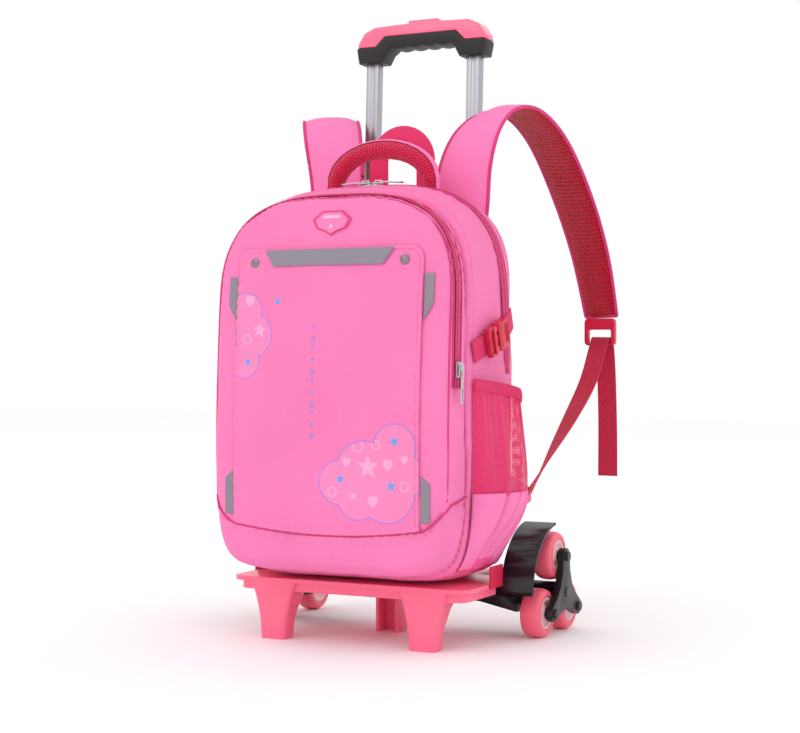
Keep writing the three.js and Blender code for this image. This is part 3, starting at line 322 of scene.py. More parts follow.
def declare_sheet(piece, width):
    """Works out a cloth piece's length from its area before its wall and its cut width; the result is not
    kept.
    """
    width = max(width, 0.0101)
    area_of(piece) / width


def frames_along(points, turns):
    """Centre, across and outward vectors at each point of a path whose width is turned from X."""
    found = []
    for i, point in enumerate(points):
        tangent = (points[min(i + 1, len(points) - 1)] - points[max(i - 1, 0)]).normalized()
        turn = math.radians(turns[i])
        across = Vector((math.cos(turn), -math.sin(turn), 0))
        across = (across - tangent * across.dot(tangent)).normalized()
        found.append((point, across, tangent.cross(across)))
    return found


def smooth_path(rows, steps):
    """Points, widths and turns along a table of (x, depth, height, width, turn)."""
    points, widths, turns = [], [], []
    for i in range(steps + 1):
        row = row_at(rows, i / steps * (len(rows) - 1))
        points.append(world(*row[:3]))
        widths.append(row[3])
        turns.append(row[4])
    return points, widths, turns


def mirrored_piece(make, side):
    """Runs make() and turns its bmesh over for the left side."""
    bm = make()
    if side < 0:
        bmesh.ops.scale(bm, vec=(-1, 1, 1), verts=bm.verts[:])
        bmesh.ops.reverse_faces(bm, faces=bm.faces[:])
    return bm


def tube_mesh(points, radius, sides=8, closed=False):
    """A round tube along points, with closed ends."""
    bm = bmesh.new()
    rings = []
    count = len(points)
    guide = Vector((0, 0, 1))
    for i, point in enumerate(points):
        before = points[(i - 1) % count] if closed else points[max(i - 1, 0)]
        after = points[(i + 1) % count] if closed else points[min(i + 1, count - 1)]
        tangent = (after - before).normalized()
        across = tangent.cross(guide)
        if across.length < 0.2:
            across = tangent.cross(Vector((0, 1, 0)))
        across.normalize()
        up = across.cross(tangent)
        ring = bmesh.ops.create_circle(bm, segments=sides, radius=radius)["verts"]
        for vert in ring:
            x, y = vert.co.x, vert.co.y
            vert.co = point + across * x + up * y
        rings.append(ring)
    for a, b in zip(rings, rings[1:] + (rings[:1] if closed else [])):
        for k in range(sides):
            bm.faces.new((a[k], a[(k + 1) % sides], b[(k + 1) % sides], b[k]))
    if not closed:
        bm.faces.new(rings[0])
        bm.faces.new(rings[-1])
    bmesh.ops.recalc_face_normals(bm, faces=bm.faces[:])
    return bm


def beads(bm, points, outward_at, size, pitch, sides=6):
    """Small rounded bars set across or along a line of points: stitches and zipper teeth."""
    lengths = [0.0]
    for a, b in zip(points, points[1:]):
        lengths.append(lengths[-1] + (b - a).length)
    count = max(2, int(lengths[-1] / pitch))
    k = 0
    for i in range(count):
        target = (i + 0.5) / count * lengths[-1]
        while lengths[k + 1] < target:
            k += 1
        share = (target - lengths[k]) / (lengths[k + 1] - lengths[k])
        centre = points[k].lerp(points[k + 1], share)
        along = (points[k + 1] - points[k]).normalized()
        out = outward_at[k].lerp(outward_at[k + 1], share)
        out = (out - along * out.dot(along)).normalized()
        turn = Matrix((along, out.cross(along), out)).transposed().to_4x4()
        made = bmesh.ops.create_uvsphere(bm, u_segments=sides, v_segments=4, radius=0.5)["verts"]
        bmesh.ops.scale(bm, vec=size, verts=made)
        bmesh.ops.transform(bm, matrix=Matrix.Translation(centre) @ turn, verts=made)


def refined(node, material, width=0.0008, segments=3, angle=30):
    """A CAD node's own shape with its edges rounded, in place of the node."""
    bm = bmesh.new()
    source = bpy.data.objects[node] if node in bpy.data.objects else frame["nodes"][node]
    bm.from_mesh(source.data)
    bmesh.ops.remove_doubles(bm, verts=bm.verts[:], dist=2e-6)
    bmesh.ops.dissolve_limit(bm, angle_limit=math.radians(1), verts=bm.verts[:], edges=bm.edges[:])
    bmesh.ops.recalc_face_normals(bm, faces=bm.faces[:])
    piece = finished(bm, f"{node}_finish", material, body_holding(node), replaces=(node,))
    edge = piece.modifiers.new("edge", "BEVEL")
    edge.width = width
    edge.segments = segments
    edge.limit_method = "ANGLE"
    edge.angle_limit = math.radians(angle)
    edge.harden_normals = False
    edge.use_clamp_overlap = True
    return piece


# Materials

def srgb(red, green, blue):
    """A shader colour from eight-bit screen values."""
    def linear(value):
        value /= 255
        return value / 12.92 if value <= 0.04045 else ((value + 0.055) / 1.055) ** 2.4
    return (linear(red), linear(green), linear(blue), 1.0)


class Wire:
    """A shader socket. Arithmetic on it adds Math nodes to the finish it belongs to."""

    def __init__(self, finish, socket):
        self.finish, self.socket = finish, socket

    def math(self, operation, *others):
        return self.finish.node("Math", {"operation": operation}, dict(enumerate((self,) + others)))

    def turned(self, operation, other):
        return self.finish.node("Math", {"operation": operation}, {0: other, 1: self})

    def __add__(self, other): return self.math("ADD", other)
    def __radd__(self, other): return self.math("ADD", other)
    def __sub__(self, other): return self.math("SUBTRACT", other)
    def __rsub__(self, other): return self.turned("SUBTRACT", other)
    def __mul__(self, other): return self.math("MULTIPLY", other)
    def __rmul__(self, other): return self.math("MULTIPLY", other)
    def __truediv__(self, other): return self.math("DIVIDE", other)
    def __lt__(self, other): return self.math("LESS_THAN", other)
    def __gt__(self, other): return self.math("GREATER_THAN", other)
    def __pow__(self, other): return self.math("POWER", other)
    def __abs__(self): return self.math("ABSOLUTE")
    def sin(self): return self.math("SINE")
    def cos(self): return self.math("COSINE")
    def fract(self): return self.math("FRACT")
    def root(self): return self.math("SQRT")
    def least(self, other): return self.math("MINIMUM", other)
    def most(self, other): return self.math("MAXIMUM", other)

    def ramp(self, low, high):
        """0 below low and 1 above high, or the other way round where low is the larger."""
        return self.finish.node("MapRange", {"interpolation_type": "SMOOTHSTEP"},
                                {"Value": self, "From Min": low, "From Max": high, "To Min": 0.0,
                                 "To Max": 1.0})


class Finish:
    """A material being made. node() adds a node: settings first, then the values or wires of its sockets."""

    def __init__(self, name):
        self.material = bpy.data.materials.new(name)
        self.material.use_nodes = True
        self.tree = self.material.node_tree
        self.tree.nodes.clear()
        self.object_place = self.node("TexCoord", output="Object")

    def node(self, kind, settings=None, values=None, output=0):
        node = self.tree.nodes.new("ShaderNode" + kind)
        for key, setting in (settings or {}).items():
            setattr(node, key, setting)
        for key, value in (values or {}).items():
            if isinstance(value, Wire):
                self.tree.links.new(value.socket, node.inputs[key])
            else:
                node.inputs[key].default_value = value
        return Wire(self, node.outputs[output])

    def cloth_place(self):
        return self.node("UVMap", {"uv_map": "cloth"})

    def apart(self, place):
        """The x, y and z of a place."""
        return [self.node("SeparateXYZ", values={0: place}, output=k) for k in range(3)]

    def scaled(self, place, factors):
        return self.node("VectorMath", {"operation": "MULTIPLY"}, {0: place, 1: factors})

    def speckle(self, scale, detail=3.0, place=None, roughness=0.5):
        return self.node("TexNoise", values={"Vector": place or self.object_place, "Scale": scale,
                                             "Detail": detail, "Roughness": roughness})

    def mix(self, mask, a, b):
        return self.node("Mix", {"data_type": "RGBA"}, {0: mask, 6: a, 7: b}, output=2)

    def shade(self, colour, amount):
        """The colour made darker or lighter by a wire around 1."""
        grey = self.node("CombineXYZ", values={0: amount, 1: amount, 2: amount})
        return self.node("VectorMath", {"operation": "MULTIPLY"},
                         {0: colour if isinstance(colour, Wire) else colour[:3], 1: grey})

    def relief(self, height, distance, strength=1.0, normal=None):
        values = {"Height": height, "Distance": distance, "Strength": strength}
        if normal:
            values["Normal"] = normal
        return self.node("Bump", values=values)

    def done(self, values):
        """Ends the material with a Principled surface from these sockets."""
        surface = self.node("BsdfPrincipled", values=values)
        end = self.tree.nodes.new("ShaderNodeOutputMaterial")
        self.tree.links.new(surface.socket, end.inputs["Surface"])
        return self.material


def honeycomb(finish, place, pitch):
    """Distance from the nearest centre of a honeycomb, in cells."""
    x, y, _ = finish.apart(place)
    across, up = x / pitch, y / (pitch * math.sqrt(3))
    def from_centre(shift):
        a = (across + shift).fract() - 0.5
        b = ((up + shift).fract() - 0.5) * math.sqrt(3)
        return a * a + b * b
    return from_centre(0.0).least(from_centre(0.5)).root()


def woven_cloth(name, colour, deep, sheen=0.3, thread=0.0007, roughness=0.62):
    """Coated polyester: fine plain weave, soft clouding and a little sheen."""
    finish = Finish(name)
    x, y, z = finish.apart(finish.object_place)
    turns = 2 * math.pi / thread
    weave = (x * turns + y * turns).sin() * (z * turns).sin()
    cloud = finish.speckle(9.0, 4.0)
    fine = finish.speckle(160.0, 3.0)
    slub = finish.speckle(1.0, 2.0, finish.scaled(finish.object_place, (90, 90, 1400)))
    tone = 0.93 + cloud * 0.08 + fine * 0.05 + slub * 0.03
    dip = finish.relief(weave * 0.3 + slub * 0.5 + fine * 0.6, 0.00025, 0.35)
    soft = finish.relief(finish.speckle(26.0, 3.0), 0.0016, 0.22, dip)
    base = finish.shade(finish.mix(cloud.ramp(0.3, 0.75), deep, colour), tone)
    return finish.done({"Base Color": base, "Roughness": roughness - 0.1 * (cloud - 0.5), "Normal": soft,
                        "Sheen Weight": sheen, "Sheen Roughness": 0.4, "Sheen Tint": colour,
                        "Specular IOR Level": 0.35})


def air_mesh(name, colour, hole_shade, pitch=0.0042):
    """Spacer mesh: rounded honeycomb holes in a springy knit, their insides painted with shade as a darker
    copy of the knit's colour.
    """
    finish = Finish(name)
    place = finish.cloth_place()
    from_centre = honeycomb(finish, place, pitch)
    knit = finish.speckle(1.0, 2.0, finish.scaled(place, (900, 900, 1)))
    rim = from_centre.ramp(0.20, 0.36)
    # painted shade: inside the holes the colour falls to the darker copy passed in for them
    base = finish.shade(finish.mix(rim, hole_shade, colour), 0.84 + 0.3 * knit)
    dip = finish.relief(from_centre.ramp(0.12, 0.46) + knit * 0.12, 0.0011, 0.9)
    return finish.done({"Base Color": base, "Roughness": 0.85, "Normal": dip, "Sheen Weight": 0.25,
                        "Sheen Roughness": 0.5, "Specular IOR Level": 0.2})


def net_cloth(name, colour, pitch=0.0023):
    """Open warp-knit net, its holes cut through."""
    finish = Finish(name)
    place = finish.cloth_place()
    from_centre = honeycomb(finish, place, pitch)
    knit = finish.speckle(1.0, 2.0, finish.scaled(place, (1500, 1500, 1)))
    thread = from_centre.ramp(0.20, 0.28)
    base = finish.shade(colour, 0.8 + 0.4 * knit)
    dip = finish.relief(from_centre.ramp(0.2, 0.5), 0.0005, 0.8)
    return finish.done({"Base Color": base, "Roughness": 0.7, "Normal": dip, "Alpha": thread,
                        "Sheen Weight": 0.3})


def webbing_cloth(name, colour, rib=0.0018):
    """Flat woven webbing with a herringbone of fine ribs and plain selvedges."""
    finish = Finish(name)
    place = finish.cloth_place()
    x, y, _ = finish.apart(place)
    slant = abs((x / 0.0085).fract() - 0.5) * 2.0
    ribs = ((y / rib + slant * 1.6) * (2 * math.pi)).sin() * 0.5 + 0.5
    fuzz = finish.speckle(1.0, 3.0, finish.scaled(place, (1800, 500, 1)))
    cloud = finish.speckle(30.0, 2.0)
    base = finish.shade(colour, 0.72 + 0.24 * ribs + 0.14 * fuzz + 0.1 * cloud)
    dip = finish.relief(ribs + fuzz * 0.4, 0.0005, 0.7)
    return finish.done({"Base Color": base, "Roughness": 0.66, "Normal": dip, "Sheen Weight": 0.35,
                        "Sheen Roughness": 0.35, "Sheen Tint": colour})


def zip_tape_cloth(name, colour):
    """Knitted zipper tape: fine lengthwise wales."""
    finish = Finish(name)
    place = finish.cloth_place()
    x, y, _ = finish.apart(place)
    wales = ((x * (2 * math.pi / 0.0011)).sin() * 0.5 + 0.5)
    courses = ((y * (2 * math.pi / 0.0016)).sin() * 0.5 + 0.5)
    base = finish.shade(colour, 0.8 + 0.18 * wales + 0.1 * courses)
    return finish.done({"Base Color": base, "Roughness": 0.75,
                        "Normal": finish.relief(wales + courses * 0.5, 0.0003, 0.6),
                        "Sheen Weight": 0.2})


def moulded(name, colour, roughness=0.34, grain=0.35, coat=0.0, lift=0.05):
    """Injection-moulded plastic: faint grain, flow clouding and dulled patches."""
    finish = Finish(name)
    cloud = finish.speckle(12.0, 4.0)
    fine = finish.speckle(900.0, 2.0)
    scuff = finish.speckle(1.0, 5.0, finish.scaled(finish.object_place, (160, 160, 35)), 0.7)
    worn = scuff.ramp(0.62, 0.74)
    tone = 1.0 - lift + cloud * (2 * lift) + worn * 0.04
    return finish.done({"Base Color": finish.shade(colour, tone),
                        "Roughness": roughness + 0.12 * worn + 0.08 * (cloud - 0.5),
                        "Normal": finish.relief(fine, 0.00012, grain),
                        "Coat Weight": coat, "Coat Roughness": 0.15, "Specular IOR Level": 0.5})


def urethane(name, colour):
    """Cast tyre: satin, slightly cloudy, with faint scuffing round the tread."""
    finish = Finish(name)
    cloud = finish.speckle(40.0, 3.0)
    fine = finish.speckle(700.0, 3.0)
    return finish.done({"Base Color": finish.shade(colour, 0.92 + cloud * 0.13),
                        "Roughness": 0.36 + 0.12 * fine,
                        "Normal": finish.relief(fine, 0.00012, 0.5), "Subsurface Weight": 0.12,
                        "Subsurface Radius": (0.004, 0.002, 0.002)})


def drawn_metal(name, colour, roughness=0.28, stretch=(1500, 1500, 14)):
    """Drawn and anodised tube: fine lengthwise lines."""
    finish = Finish(name)
    lines = finish.speckle(1.0, 3.0, finish.scaled(finish.object_place, stretch))
    cloud = finish.speckle(14.0, 2.0)
    return finish.done({"Base Color": finish.shade(colour, 0.86 + 0.16 * lines + 0.1 * cloud),
                        "Metallic": 0.9,
                        "Roughness": roughness + 0.16 * lines,
                        "Normal": finish.relief(lines, 0.00008, 0.4)})


def plated(name, colour, roughness=0.16):
    """Nickel plate over a die casting: bright, with faint pits and fingered cloudiness."""
    finish = Finish(name)
    cloud = finish.speckle(90.0, 4.0)
    pits = finish.speckle(1600.0, 2.0)
    return finish.done({"Base Color": finish.shade(colour, 0.85 + 0.2 * cloud), "Metallic": 1.0,
                        "Roughness": roughness + 0.2 * (cloud - 0.4),
                        "Normal": finish.relief(pits, 0.00005, 0.4)})


def reflective_tape(name, colour):
    """Glass-bead tape: a grey face of fine sealed cells."""
    finish = Finish(name)
    place = finish.cloth_place()
    cells = honeycomb(finish, place, 0.0032)
    seal = cells.ramp(0.44, 0.5)
    beads_tone = finish.speckle(2600.0, 2.0)
    cloud = finish.speckle(30.0, 2.0)
    base = finish.shade(colour, 0.84 + 0.22 * beads_tone + 0.08 * cloud + 0.1 * seal)
    return finish.done({"Base Color": base, "Roughness": 0.38 - 0.1 * seal, "Metallic": 0.25,
                        "Normal": finish.relief(beads_tone * 0.6 + seal, 0.00015, 0.4)})


def star_mask(x, y, centre, radius, turn=0.0):
    """1 inside a five-pointed star."""
    dx, dy = x - centre[0], y - centre[1]
    point = math.pi / 5
    angle = dy.math("ARCTAN2", dx) + (turn + 10 * point)
    folded = abs(angle.math("MODULO", 2 * point) - point)
    reach = (dx * dx + dy * dy).root() / radius
    notch = 0.42
    # straight edge from a tip (folded 0) to a notch (folded point)
    rise, run = notch * math.sin(point), notch * math.cos(point) - 1.0
    side = (reach * folded.cos() - 1.0) * rise - reach * folded.sin() * run
    return side.ramp(0.03, 0.0)


def disc_mask(x, y, centre, radius, soft=0.0006):
    """1 inside a disc with a soft edge."""
    dx, dy = x - centre[0], y - centre[1]
    return (dx * dx + dy * dy).root().ramp(radius + soft, radius - soft)


def ring_mask(x, y, centre, radius, width):
    """1 on a thin ring."""
    dx, dy = x - centre[0], y - centre[1]
    return abs((dx * dx + dy * dy).root() - radius).ramp(width, width * 0.4)


def heart_mask(x, y, centre, radius):
    """1 inside a rounded heart."""
    dx, dy = abs(x - centre[0]) / radius, (y - centre[1]) / radius
    lift = dy - 0.62 * dx.root() + 0.15
    return (dx * dx + lift * lift * 1.1).ramp(0.75, 0.66)


PRINT_CLOUD = (
    # x, height, radius in mm: puffs of one cloud whose outline is printed
    (52, 196, 36), (88, 226, 25), (20, 186, 24), (78, 178, 34), (96, 196, 26), (44, 172, 26),
)
PRINT_STARS = (
    # x, height, radius, turn, tone
    (56, 204, 13, 0.3, "pale"), (88, 232, 6, 0.0, "blue"), (22, 190, 5.5, 0.5, "blue"),
    (84, 184, 6, 0.2, "blue"),
    (38, 172, 5, 0.1, "pale"), (-84, 352, 9, 0.4, "pale"), (-98, 316, 5, 0.0, "blue"),
    (-62, 384, 5, 0.2, "blue"),
)
PRINT_HEARTS = ((80, 206, 7), (30, 208, 6), (62, 166, 7), (100, 212, 5), (-98, 384, 7), (-78, 322, 5))
PRINT_RINGS = ((44, 226, 6), (100, 184, 5), (66, 228, 4.5), (12, 176, 5), (-100, 342, 5), (-76, 368, 4))
PRINT_LINE = (-14, (236, 248, 262, 270, 284, 298, 306, 320, 334, 342, 356))  # column of dots on the front


def printed_cloth(name, colour, deep, pale, blue, outline_colour):
    """The bag's cloth with a screen print of a cloud, stars, hearts and rings."""
    finish = Finish(name)
    x, y, z = finish.apart(finish.object_place)
    turns = 2 * math.pi / 0.0007
    weave = (x * turns + y * turns).sin() * (z * turns).sin()
    cloud = finish.speckle(9.0, 4.0)
    fine = finish.speckle(160.0, 3.0)
    slub = finish.speckle(1.0, 2.0, finish.scaled(finish.object_place, (90, 90, 1400)))
    tone = 0.93 + cloud * 0.08 + fine * 0.05 + slub * 0.03
    base = finish.mix(cloud.ramp(0.3, 0.75), deep, colour)
    # the cloud: the least distance past its puffs
    edge = None
    for px, pz, radius in PRINT_CLOUD:
        dx, dz = x - px * MM, z - pz * MM
        past = (dx * dx + dz * dz).root() - radius * MM
        edge = past if edge is None else edge.least(past)
    second = None
    for px, pz, radius in ((-104, 372, 22), (-92, 346, 24), (-104, 318, 20)):
        dx, dz = x - px * MM, z - pz * MM
        past = (dx * dx + dz * dz).root() - radius * MM
        second = past if second is None else second.least(past)
    edge = edge.least(second)
    rim = abs(edge).ramp(0.0013, 0.0006)
    inside = edge.ramp(0.0004, -0.0004)
    motif = None
    blues = None
    for px, pz, radius, turn, tint in PRINT_STARS:
        mask = star_mask(x, z, (px * MM, pz * MM), radius * MM, turn)
        if tint == "pale":
            motif = mask if motif is None else motif.most(mask)
        else:
            blues = mask if blues is None else blues.most(mask)
    for px, pz, radius in PRINT_HEARTS:
        motif = motif.most(heart_mask(x, z, (px * MM, pz * MM), radius * MM))
    for px, pz, radius in PRINT_RINGS:
        motif = motif.most(ring_mask(x, z, (px * MM, pz * MM), radius * MM, 0.0011))
    column = None
    for k, pz in enumerate(PRINT_LINE[1]):
        mask = disc_mask(x, z, (PRINT_LINE[0] * MM, pz * MM), (2.4 if k % 3 else 3.4) * MM)
        column = mask if column is None else column.most(mask)
    wear = finish.speckle(420.0, 4.0).ramp(0.22, 0.42)
    base = finish.mix(inside * 0.18, base, pale)
    base = finish.mix(motif * inside * wear * 0.75, base, pale)
    base = finish.mix(rim * 0.75, base, outline_colour)
    base = finish.mix(column * wear * 0.75, base, outline_colour)
    base = finish.mix(blues * 0.9, base, blue)
    ink = (motif * inside).most(rim).most(blues).most(column)
    dip = finish.relief(weave * 0.3 + slub * 0.5 + fine * 0.6 + ink * 0.8, 0.00025, 0.35)
    soft = finish.relief(finish.speckle(26.0, 3.0), 0.0016, 0.22, dip)
    return finish.done({"Base Color": finish.shade(base, tone), "Roughness": 0.64 - 0.12 * ink,
                        "Normal": soft,
                        "Sheen Weight": 0.3, "Sheen Roughness": 0.4, "Sheen Tint": colour,
                        "Specular IOR Level": 0.35})


# Bag

def place_by_length(size, rings, steps):
    """Row places, evenly spread by length from the centre of the face to the centre of the seam."""
    fine = 600
    places = [k / fine * (len(rings) - 1) for k in range(fine + 1)]
    spots = []
    for place in places:
        row = row_at(rings, place)
        spots.append(Vector((ring_point(size, row, (1, 0))[0], row[0] * size["depth"])))
    lengths = [0.0]
    for a, b in zip(spots, spots[1:]):
        lengths.append(lengths[-1] + (b - a).length)
    found, k = [], 0
    for i in range(steps + 1):
        target = i / steps * lengths[-1]
        while k < fine - 1 and lengths[k + 1] < target:
            k += 1
        share = (target - lengths[k]) / max(lengths[k + 1] - lengths[k], 1e-9)
        found.append(lerp(places[k], places[k + 1], clamp(share)))
    return found


def compartment(size, rings, depth_of, around, along, relief):
    """A closed cloth shell over a table of rings, with its folds moved along the normals."""
    bm = bmesh.new()
    bmesh.ops.create_uvsphere(bm, u_segments=around, v_segments=along, radius=1)
    places = place_by_length(size, rings, along)
    for vert in bm.verts:
        level = round(math.acos(clamp(vert.co.z, -1, 1)) / math.pi * along)
        row = row_at(rings, places[level])
        if level in (0, along):
            x, z = 0.0, middle_of(size)
        else:
            share = math.atan2(vert.co.y, vert.co.x) / (2 * math.pi)
            x, z = ring_point(size, row, outline(share))
        vert.co = world(x, depth_of(row[0], z), z)
    outward(bm)
    bm.normal_update()
    share = bpy.context.scene.backpack_sizes.folds
    moves = [(vert, vert.normal * (share * relief(vert.co, vert.normal))) for vert in bm.verts]
    for vert, move in moves:
        vert.co += move
    return bm


def folds(place, size, seed, stretch=(1, 1, 1)):
    """Soft ridged noise, from -1 to 1."""
    p = Vector((place.x * stretch[0], place.y * stretch[1], place.z * stretch[2])) / size
    return noise.noise(p + Vector((seed, seed * 1.7, seed * 0.3)))


def seam_pucker(place, distance, reach, pitch=0.011):
    """Small gathers beside a seam, fading within reach of it."""
    fade = 1 - ease(distance / reach)
    return fade * math.sin((place.x + place.y + place.z) * 2 * math.pi / pitch + 3 * folds(place, 0.03, 5))


def base_seam(x):
    """Height of the curved seam between the front's upper cloth and its base."""
    across = abs(x)
    if across < FLAP["half"]:
        return 0.127 + 0.009 * (across / FLAP["half"]) ** 2
    return 0.136 + 0.029 * clamp((across - FLAP["half"]) / 0.033) ** 1.5


def main_relief(co, normal):
    """Folds, drag lines and sewn seams of the main compartment."""
    depth = co.y - SEAM_Y
    side = clamp(abs(normal.x) * 1.4)
    high = clamp((co.z - 0.09) / 0.05)
    raised = 0.0016 * folds(co, 0.09, 2) + 0.0010 * folds(co, 0.035, 7, (1, 1, 0.6))
    # diagonal drag lines from the strap and the pocket hem
    raised += 0.0022 * side * high * folds(co, 0.045, 11, (0.4, 1.6, 0.55)) * bump_at(co.z, 0.30, 0.16)
    # the side panel bows out between its seams, and pulls in along the zipper
    zipper = abs(depth - main_zip_depth(co.z))
    if co.z > MAIN_ZIP["low"] - 0.02:
        raised -= 0.0026 * (1 - ease(zipper / 0.014))
        raised += 0.0007 * seam_pucker(co, zipper, 0.03)
    raised -= 0.0022 * (1 - ease(depth / 0.006))
    raised += 0.0007 * seam_pucker(co, abs(depth), 0.022)
    back_edge = abs(depth - thinned(BAG, BAG["depth"] * 0.93, co.z))
    raised -= 0.0012 * (1 - ease(back_edge / 0.004))
    # the foot is drawn in under the side pockets
    raised -= 0.0015 * (1 - ease((co.z - BAG["bottom"]) / 0.02))
    return raised


def front_relief(co, normal):
    """Folds and sewn seams of the front compartment."""
    depth = co.y - SEAM_Y
    face = clamp(-normal.y * 1.3 - 0.2)
    raised = 0.0014 * folds(co, 0.10, 3) + 0.0008 * folds(co, 0.03, 9)
    # slight slump and drag folds on the gusset below the zipper
    low = 1 - ease((co.z - 0.10) / 0.22)
    raised += 0.0018 * (1 - face) * low * folds(co, 0.04, 13, (0.5, 1.5, 0.7))
    raised += 0.0012 * face * folds(co, 0.06, 17, (1, 1, 0.5)) * bump_at(co.z, 0.11, 0.05)
    if co.z > FRONT_ZIP["low"] - 0.02:
        zipper = abs(depth - front_zip_depth(co.z))
        raised -= 0.0022 * (1 - ease(zipper / 0.009))
        raised += 0.0005 * seam_pucker(co, zipper, 0.02)
    seam = abs(co.z - base_seam(co.x))
    if depth < -0.004:
        raised -= 0.0016 * (1 - ease(seam / 0.0035))
        raised += 0.0010 * (1 - ease(abs(co.z - base_seam(co.x) + 0.004) / 0.004))
        raised += 0.0008 * seam_pucker(co, seam, 0.022)
    # the base cloth below the seam is fuller
    if co.z < base_seam(co.x):
        raised += 0.0012 * face
    raised -= 0.0020 * (1 - ease(abs(depth) / 0.006))
    raised += 0.0006 * seam_pucker(co, abs(depth), 0.02)
    return raised


def arch_line(size, rings, depth_of_z, low, lift=0.0, steps=240):
    """Points and normals on a compartment's side, at a depth that changes with the height."""
    points, normals = [], []
    middle = middle_of(size)
    for i in range(steps + 1):
        unit = outline(0.5 * 0.06 + i / steps * 0.97)
        share = 0.5
        for _ in range(8):
            x, z = ring_point(size, row_by_depth(rings, share), unit)
            depth = depth_of_z(z)
            share = clamp(abs(depth) / thinned(size, size["depth"], z))
        if z < low:
            continue
        up = max(0.0, (z - middle) / (size["top"] - middle))
        along = abs(x) / size["half"]
        out = Vector((math.copysign(along ** 2, x) / size["half"], 0,
                      up ** 2 / (size["top"] - middle))).normalized()
        points.append(world(x, depth, z) + out * lift)
        normals.append(out)
    return points, normals


def row_by_depth(rings, share):
    """The row of the table at a depth share, on the compartment's side."""
    rows = [row for row in rings[2:] if row[4] == 1]
    for a, b in zip(rows, rows[1:]):
        if share <= b[0]:
            t = clamp((share - a[0]) / (b[0] - a[0]))
            return [lerp(p, q, t) for p, q in zip(a, b)]
    return list(rows[-1])


def band_mesh(points, normals, width_at, steps_across=6, crown=0.0):
    """A strip along points, its width at right angles to the path and to the normals; UV in metres."""
    lengths = [0.0]
    for a, b in zip(points, points[1:]):
        lengths.append(lengths[-1] + (b - a).length)
    last = len(points) - 1
    def frame_at(v):
        k = min(int(v * last), last - 1)
        t = v * last - k
        point = points[k].lerp(points[k + 1], t)
        normal = normals[k].lerp(normals[k + 1], t).normalized()
        along = (points[k + 1] - points[k]).normalized()
        return point, normal, along.cross(normal).normalized(), lerp(lengths[k], lengths[k + 1], t)
    def place(u, v):
        point, normal, across, _ = frame_at(v)
        return point + across * ((u - 0.5) * width_at(v)) + normal * (crown * (1 - (2 * u - 1) ** 2))
    def size(u, v):
        return ((u - 0.5) * width_at(v), frame_at(v)[3])
    return sheet_grid(steps_across, last, place, size)


def piping(name, points, radius, material, body="root"):
    """A corded edge along a line."""
    return finished(tube_mesh(points, radius), name, material, body)


def stitch_row(name, points, normals, material):
    """Stitches as small raised threads along a line."""
    bm = bmesh.new()
    beads(bm, points, normals, STITCH, bpy.context.scene.backpack_sizes.stitch)
    outward(bm)
    return finished(bm, name, material, "root")


def zipper(name, node, points, normals, width, sets):
    """A zipper: knitted tape with two facing rows of moulded teeth."""
    tape = finished(band_mesh(points, normals, lambda v: width), f"{name}_tape", sets["zip_tape"], "root",
                    (node,))
    declare_sheet(tape, width)
    thickened(tape, 0.0008, 0)
    teeth = bmesh.new()
    for shift in (-1, 1):
        row = [p + n * 0.0009
               + (points[min(k + 1, len(points) - 1)] - points[max(k - 1, 0)]).normalized().cross(n)
               * (shift * 0.0011) for k, (p, n) in enumerate(zip(points, normals))]
        beads(teeth, row, normals, TOOTH, bpy.context.scene.backpack_sizes.tooth)
    outward(teeth)
    finished(teeth, f"{name}_teeth", sets["zip_teeth"], "root")


def build_compartments(sets):
    """The two padded shells."""
    main = compartment(BAG, MAIN_RINGS, main_depth, 300, 150, main_relief)
    shell = finished(main, "main_compartment", sets["bag"], "root", ("bag_main",))
    front = compartment(POCKET, FRONT_RINGS, lambda share, z: -thinned(POCKET, POCKET["depth"] * share, z),
                        300, 130,
                        front_relief)
    pocket = finished(front, "front_compartment", sets["bag"], "root", ("front_pocket",))


def main_depth(share, z):
    """Depth of the main compartment's rings at a height."""
    return lerp(0.0003, BAG["depth"], share) - (BAG["depth"] - thinned(BAG, BAG["depth"], z)) * share


def build_zippers(sets):
    """The two zippers, the welts beside them and the seams round the body."""
    points, normals = arch_line(BAG, MAIN_RINGS, main_zip_depth, MAIN_ZIP["low"] - 0.03, 0.0002)
    zipper("main_zip", "main_zipper", points, normals, 2 * MAIN_ZIP["half_width"], sets)
    points, normals = arch_line(POCKET, FRONT_RINGS, front_zip_depth, FRONT_ZIP["low"] - 0.01, 0.0002)
    zipper("front_zip", "front_zipper", points, normals, 2 * FRONT_ZIP["half_width"], sets)
    for name, edge, lift in (("zip_welt_front", -0.0075, 0.0004), ("zip_welt_back", 0.0075, 0.0004)):
        line, _ = arch_line(POCKET, FRONT_RINGS, lambda z: front_zip_depth(z) + edge,
                            FRONT_ZIP["low"] - 0.01, lift)
        piping(name, line, 0.0009, sets["piping"])
    for name, edge in (("main_welt_front", -0.009), ("main_welt_back", 0.009)):
        line, _ = arch_line(BAG, MAIN_RINGS, lambda z: main_zip_depth(z) + edge, MAIN_ZIP["low"] - 0.02,
                            0.0002)
        piping(name, line, 0.0009, sets["piping"])
    seam, out = arch_line(BAG, MAIN_RINGS, lambda z: 0.010, 0.10, 0.0012)
    stitch_row("body_seam_stitches", seam, out, sets["thread"])
    face, out = arch_line(POCKET, FRONT_RINGS, lambda z: -thinned(POCKET, POCKET["depth"] * 0.80, z), 0.165,
                          0.0006)
    piping("front_face_piping", face, 0.0011, sets["piping"])


def on_front(x, z, lift):
    """A point lifted off the front compartment's face."""
    return world(x, front_skin(x, z) - lift, z)


def flap_foot(x):
    """Height of the flap's lower edge."""
    return base_seam(x) + 0.001


def flap_top(x):
    """Height of the flap's upper edge, round its corners."""
    over = max(0.0, abs(x) - (FLAP["half"] - FLAP["corner"]))
    return FLAP["top"] - FLAP["corner"] + math.sqrt(max(FLAP["corner"] ** 2 - over ** 2, 0))


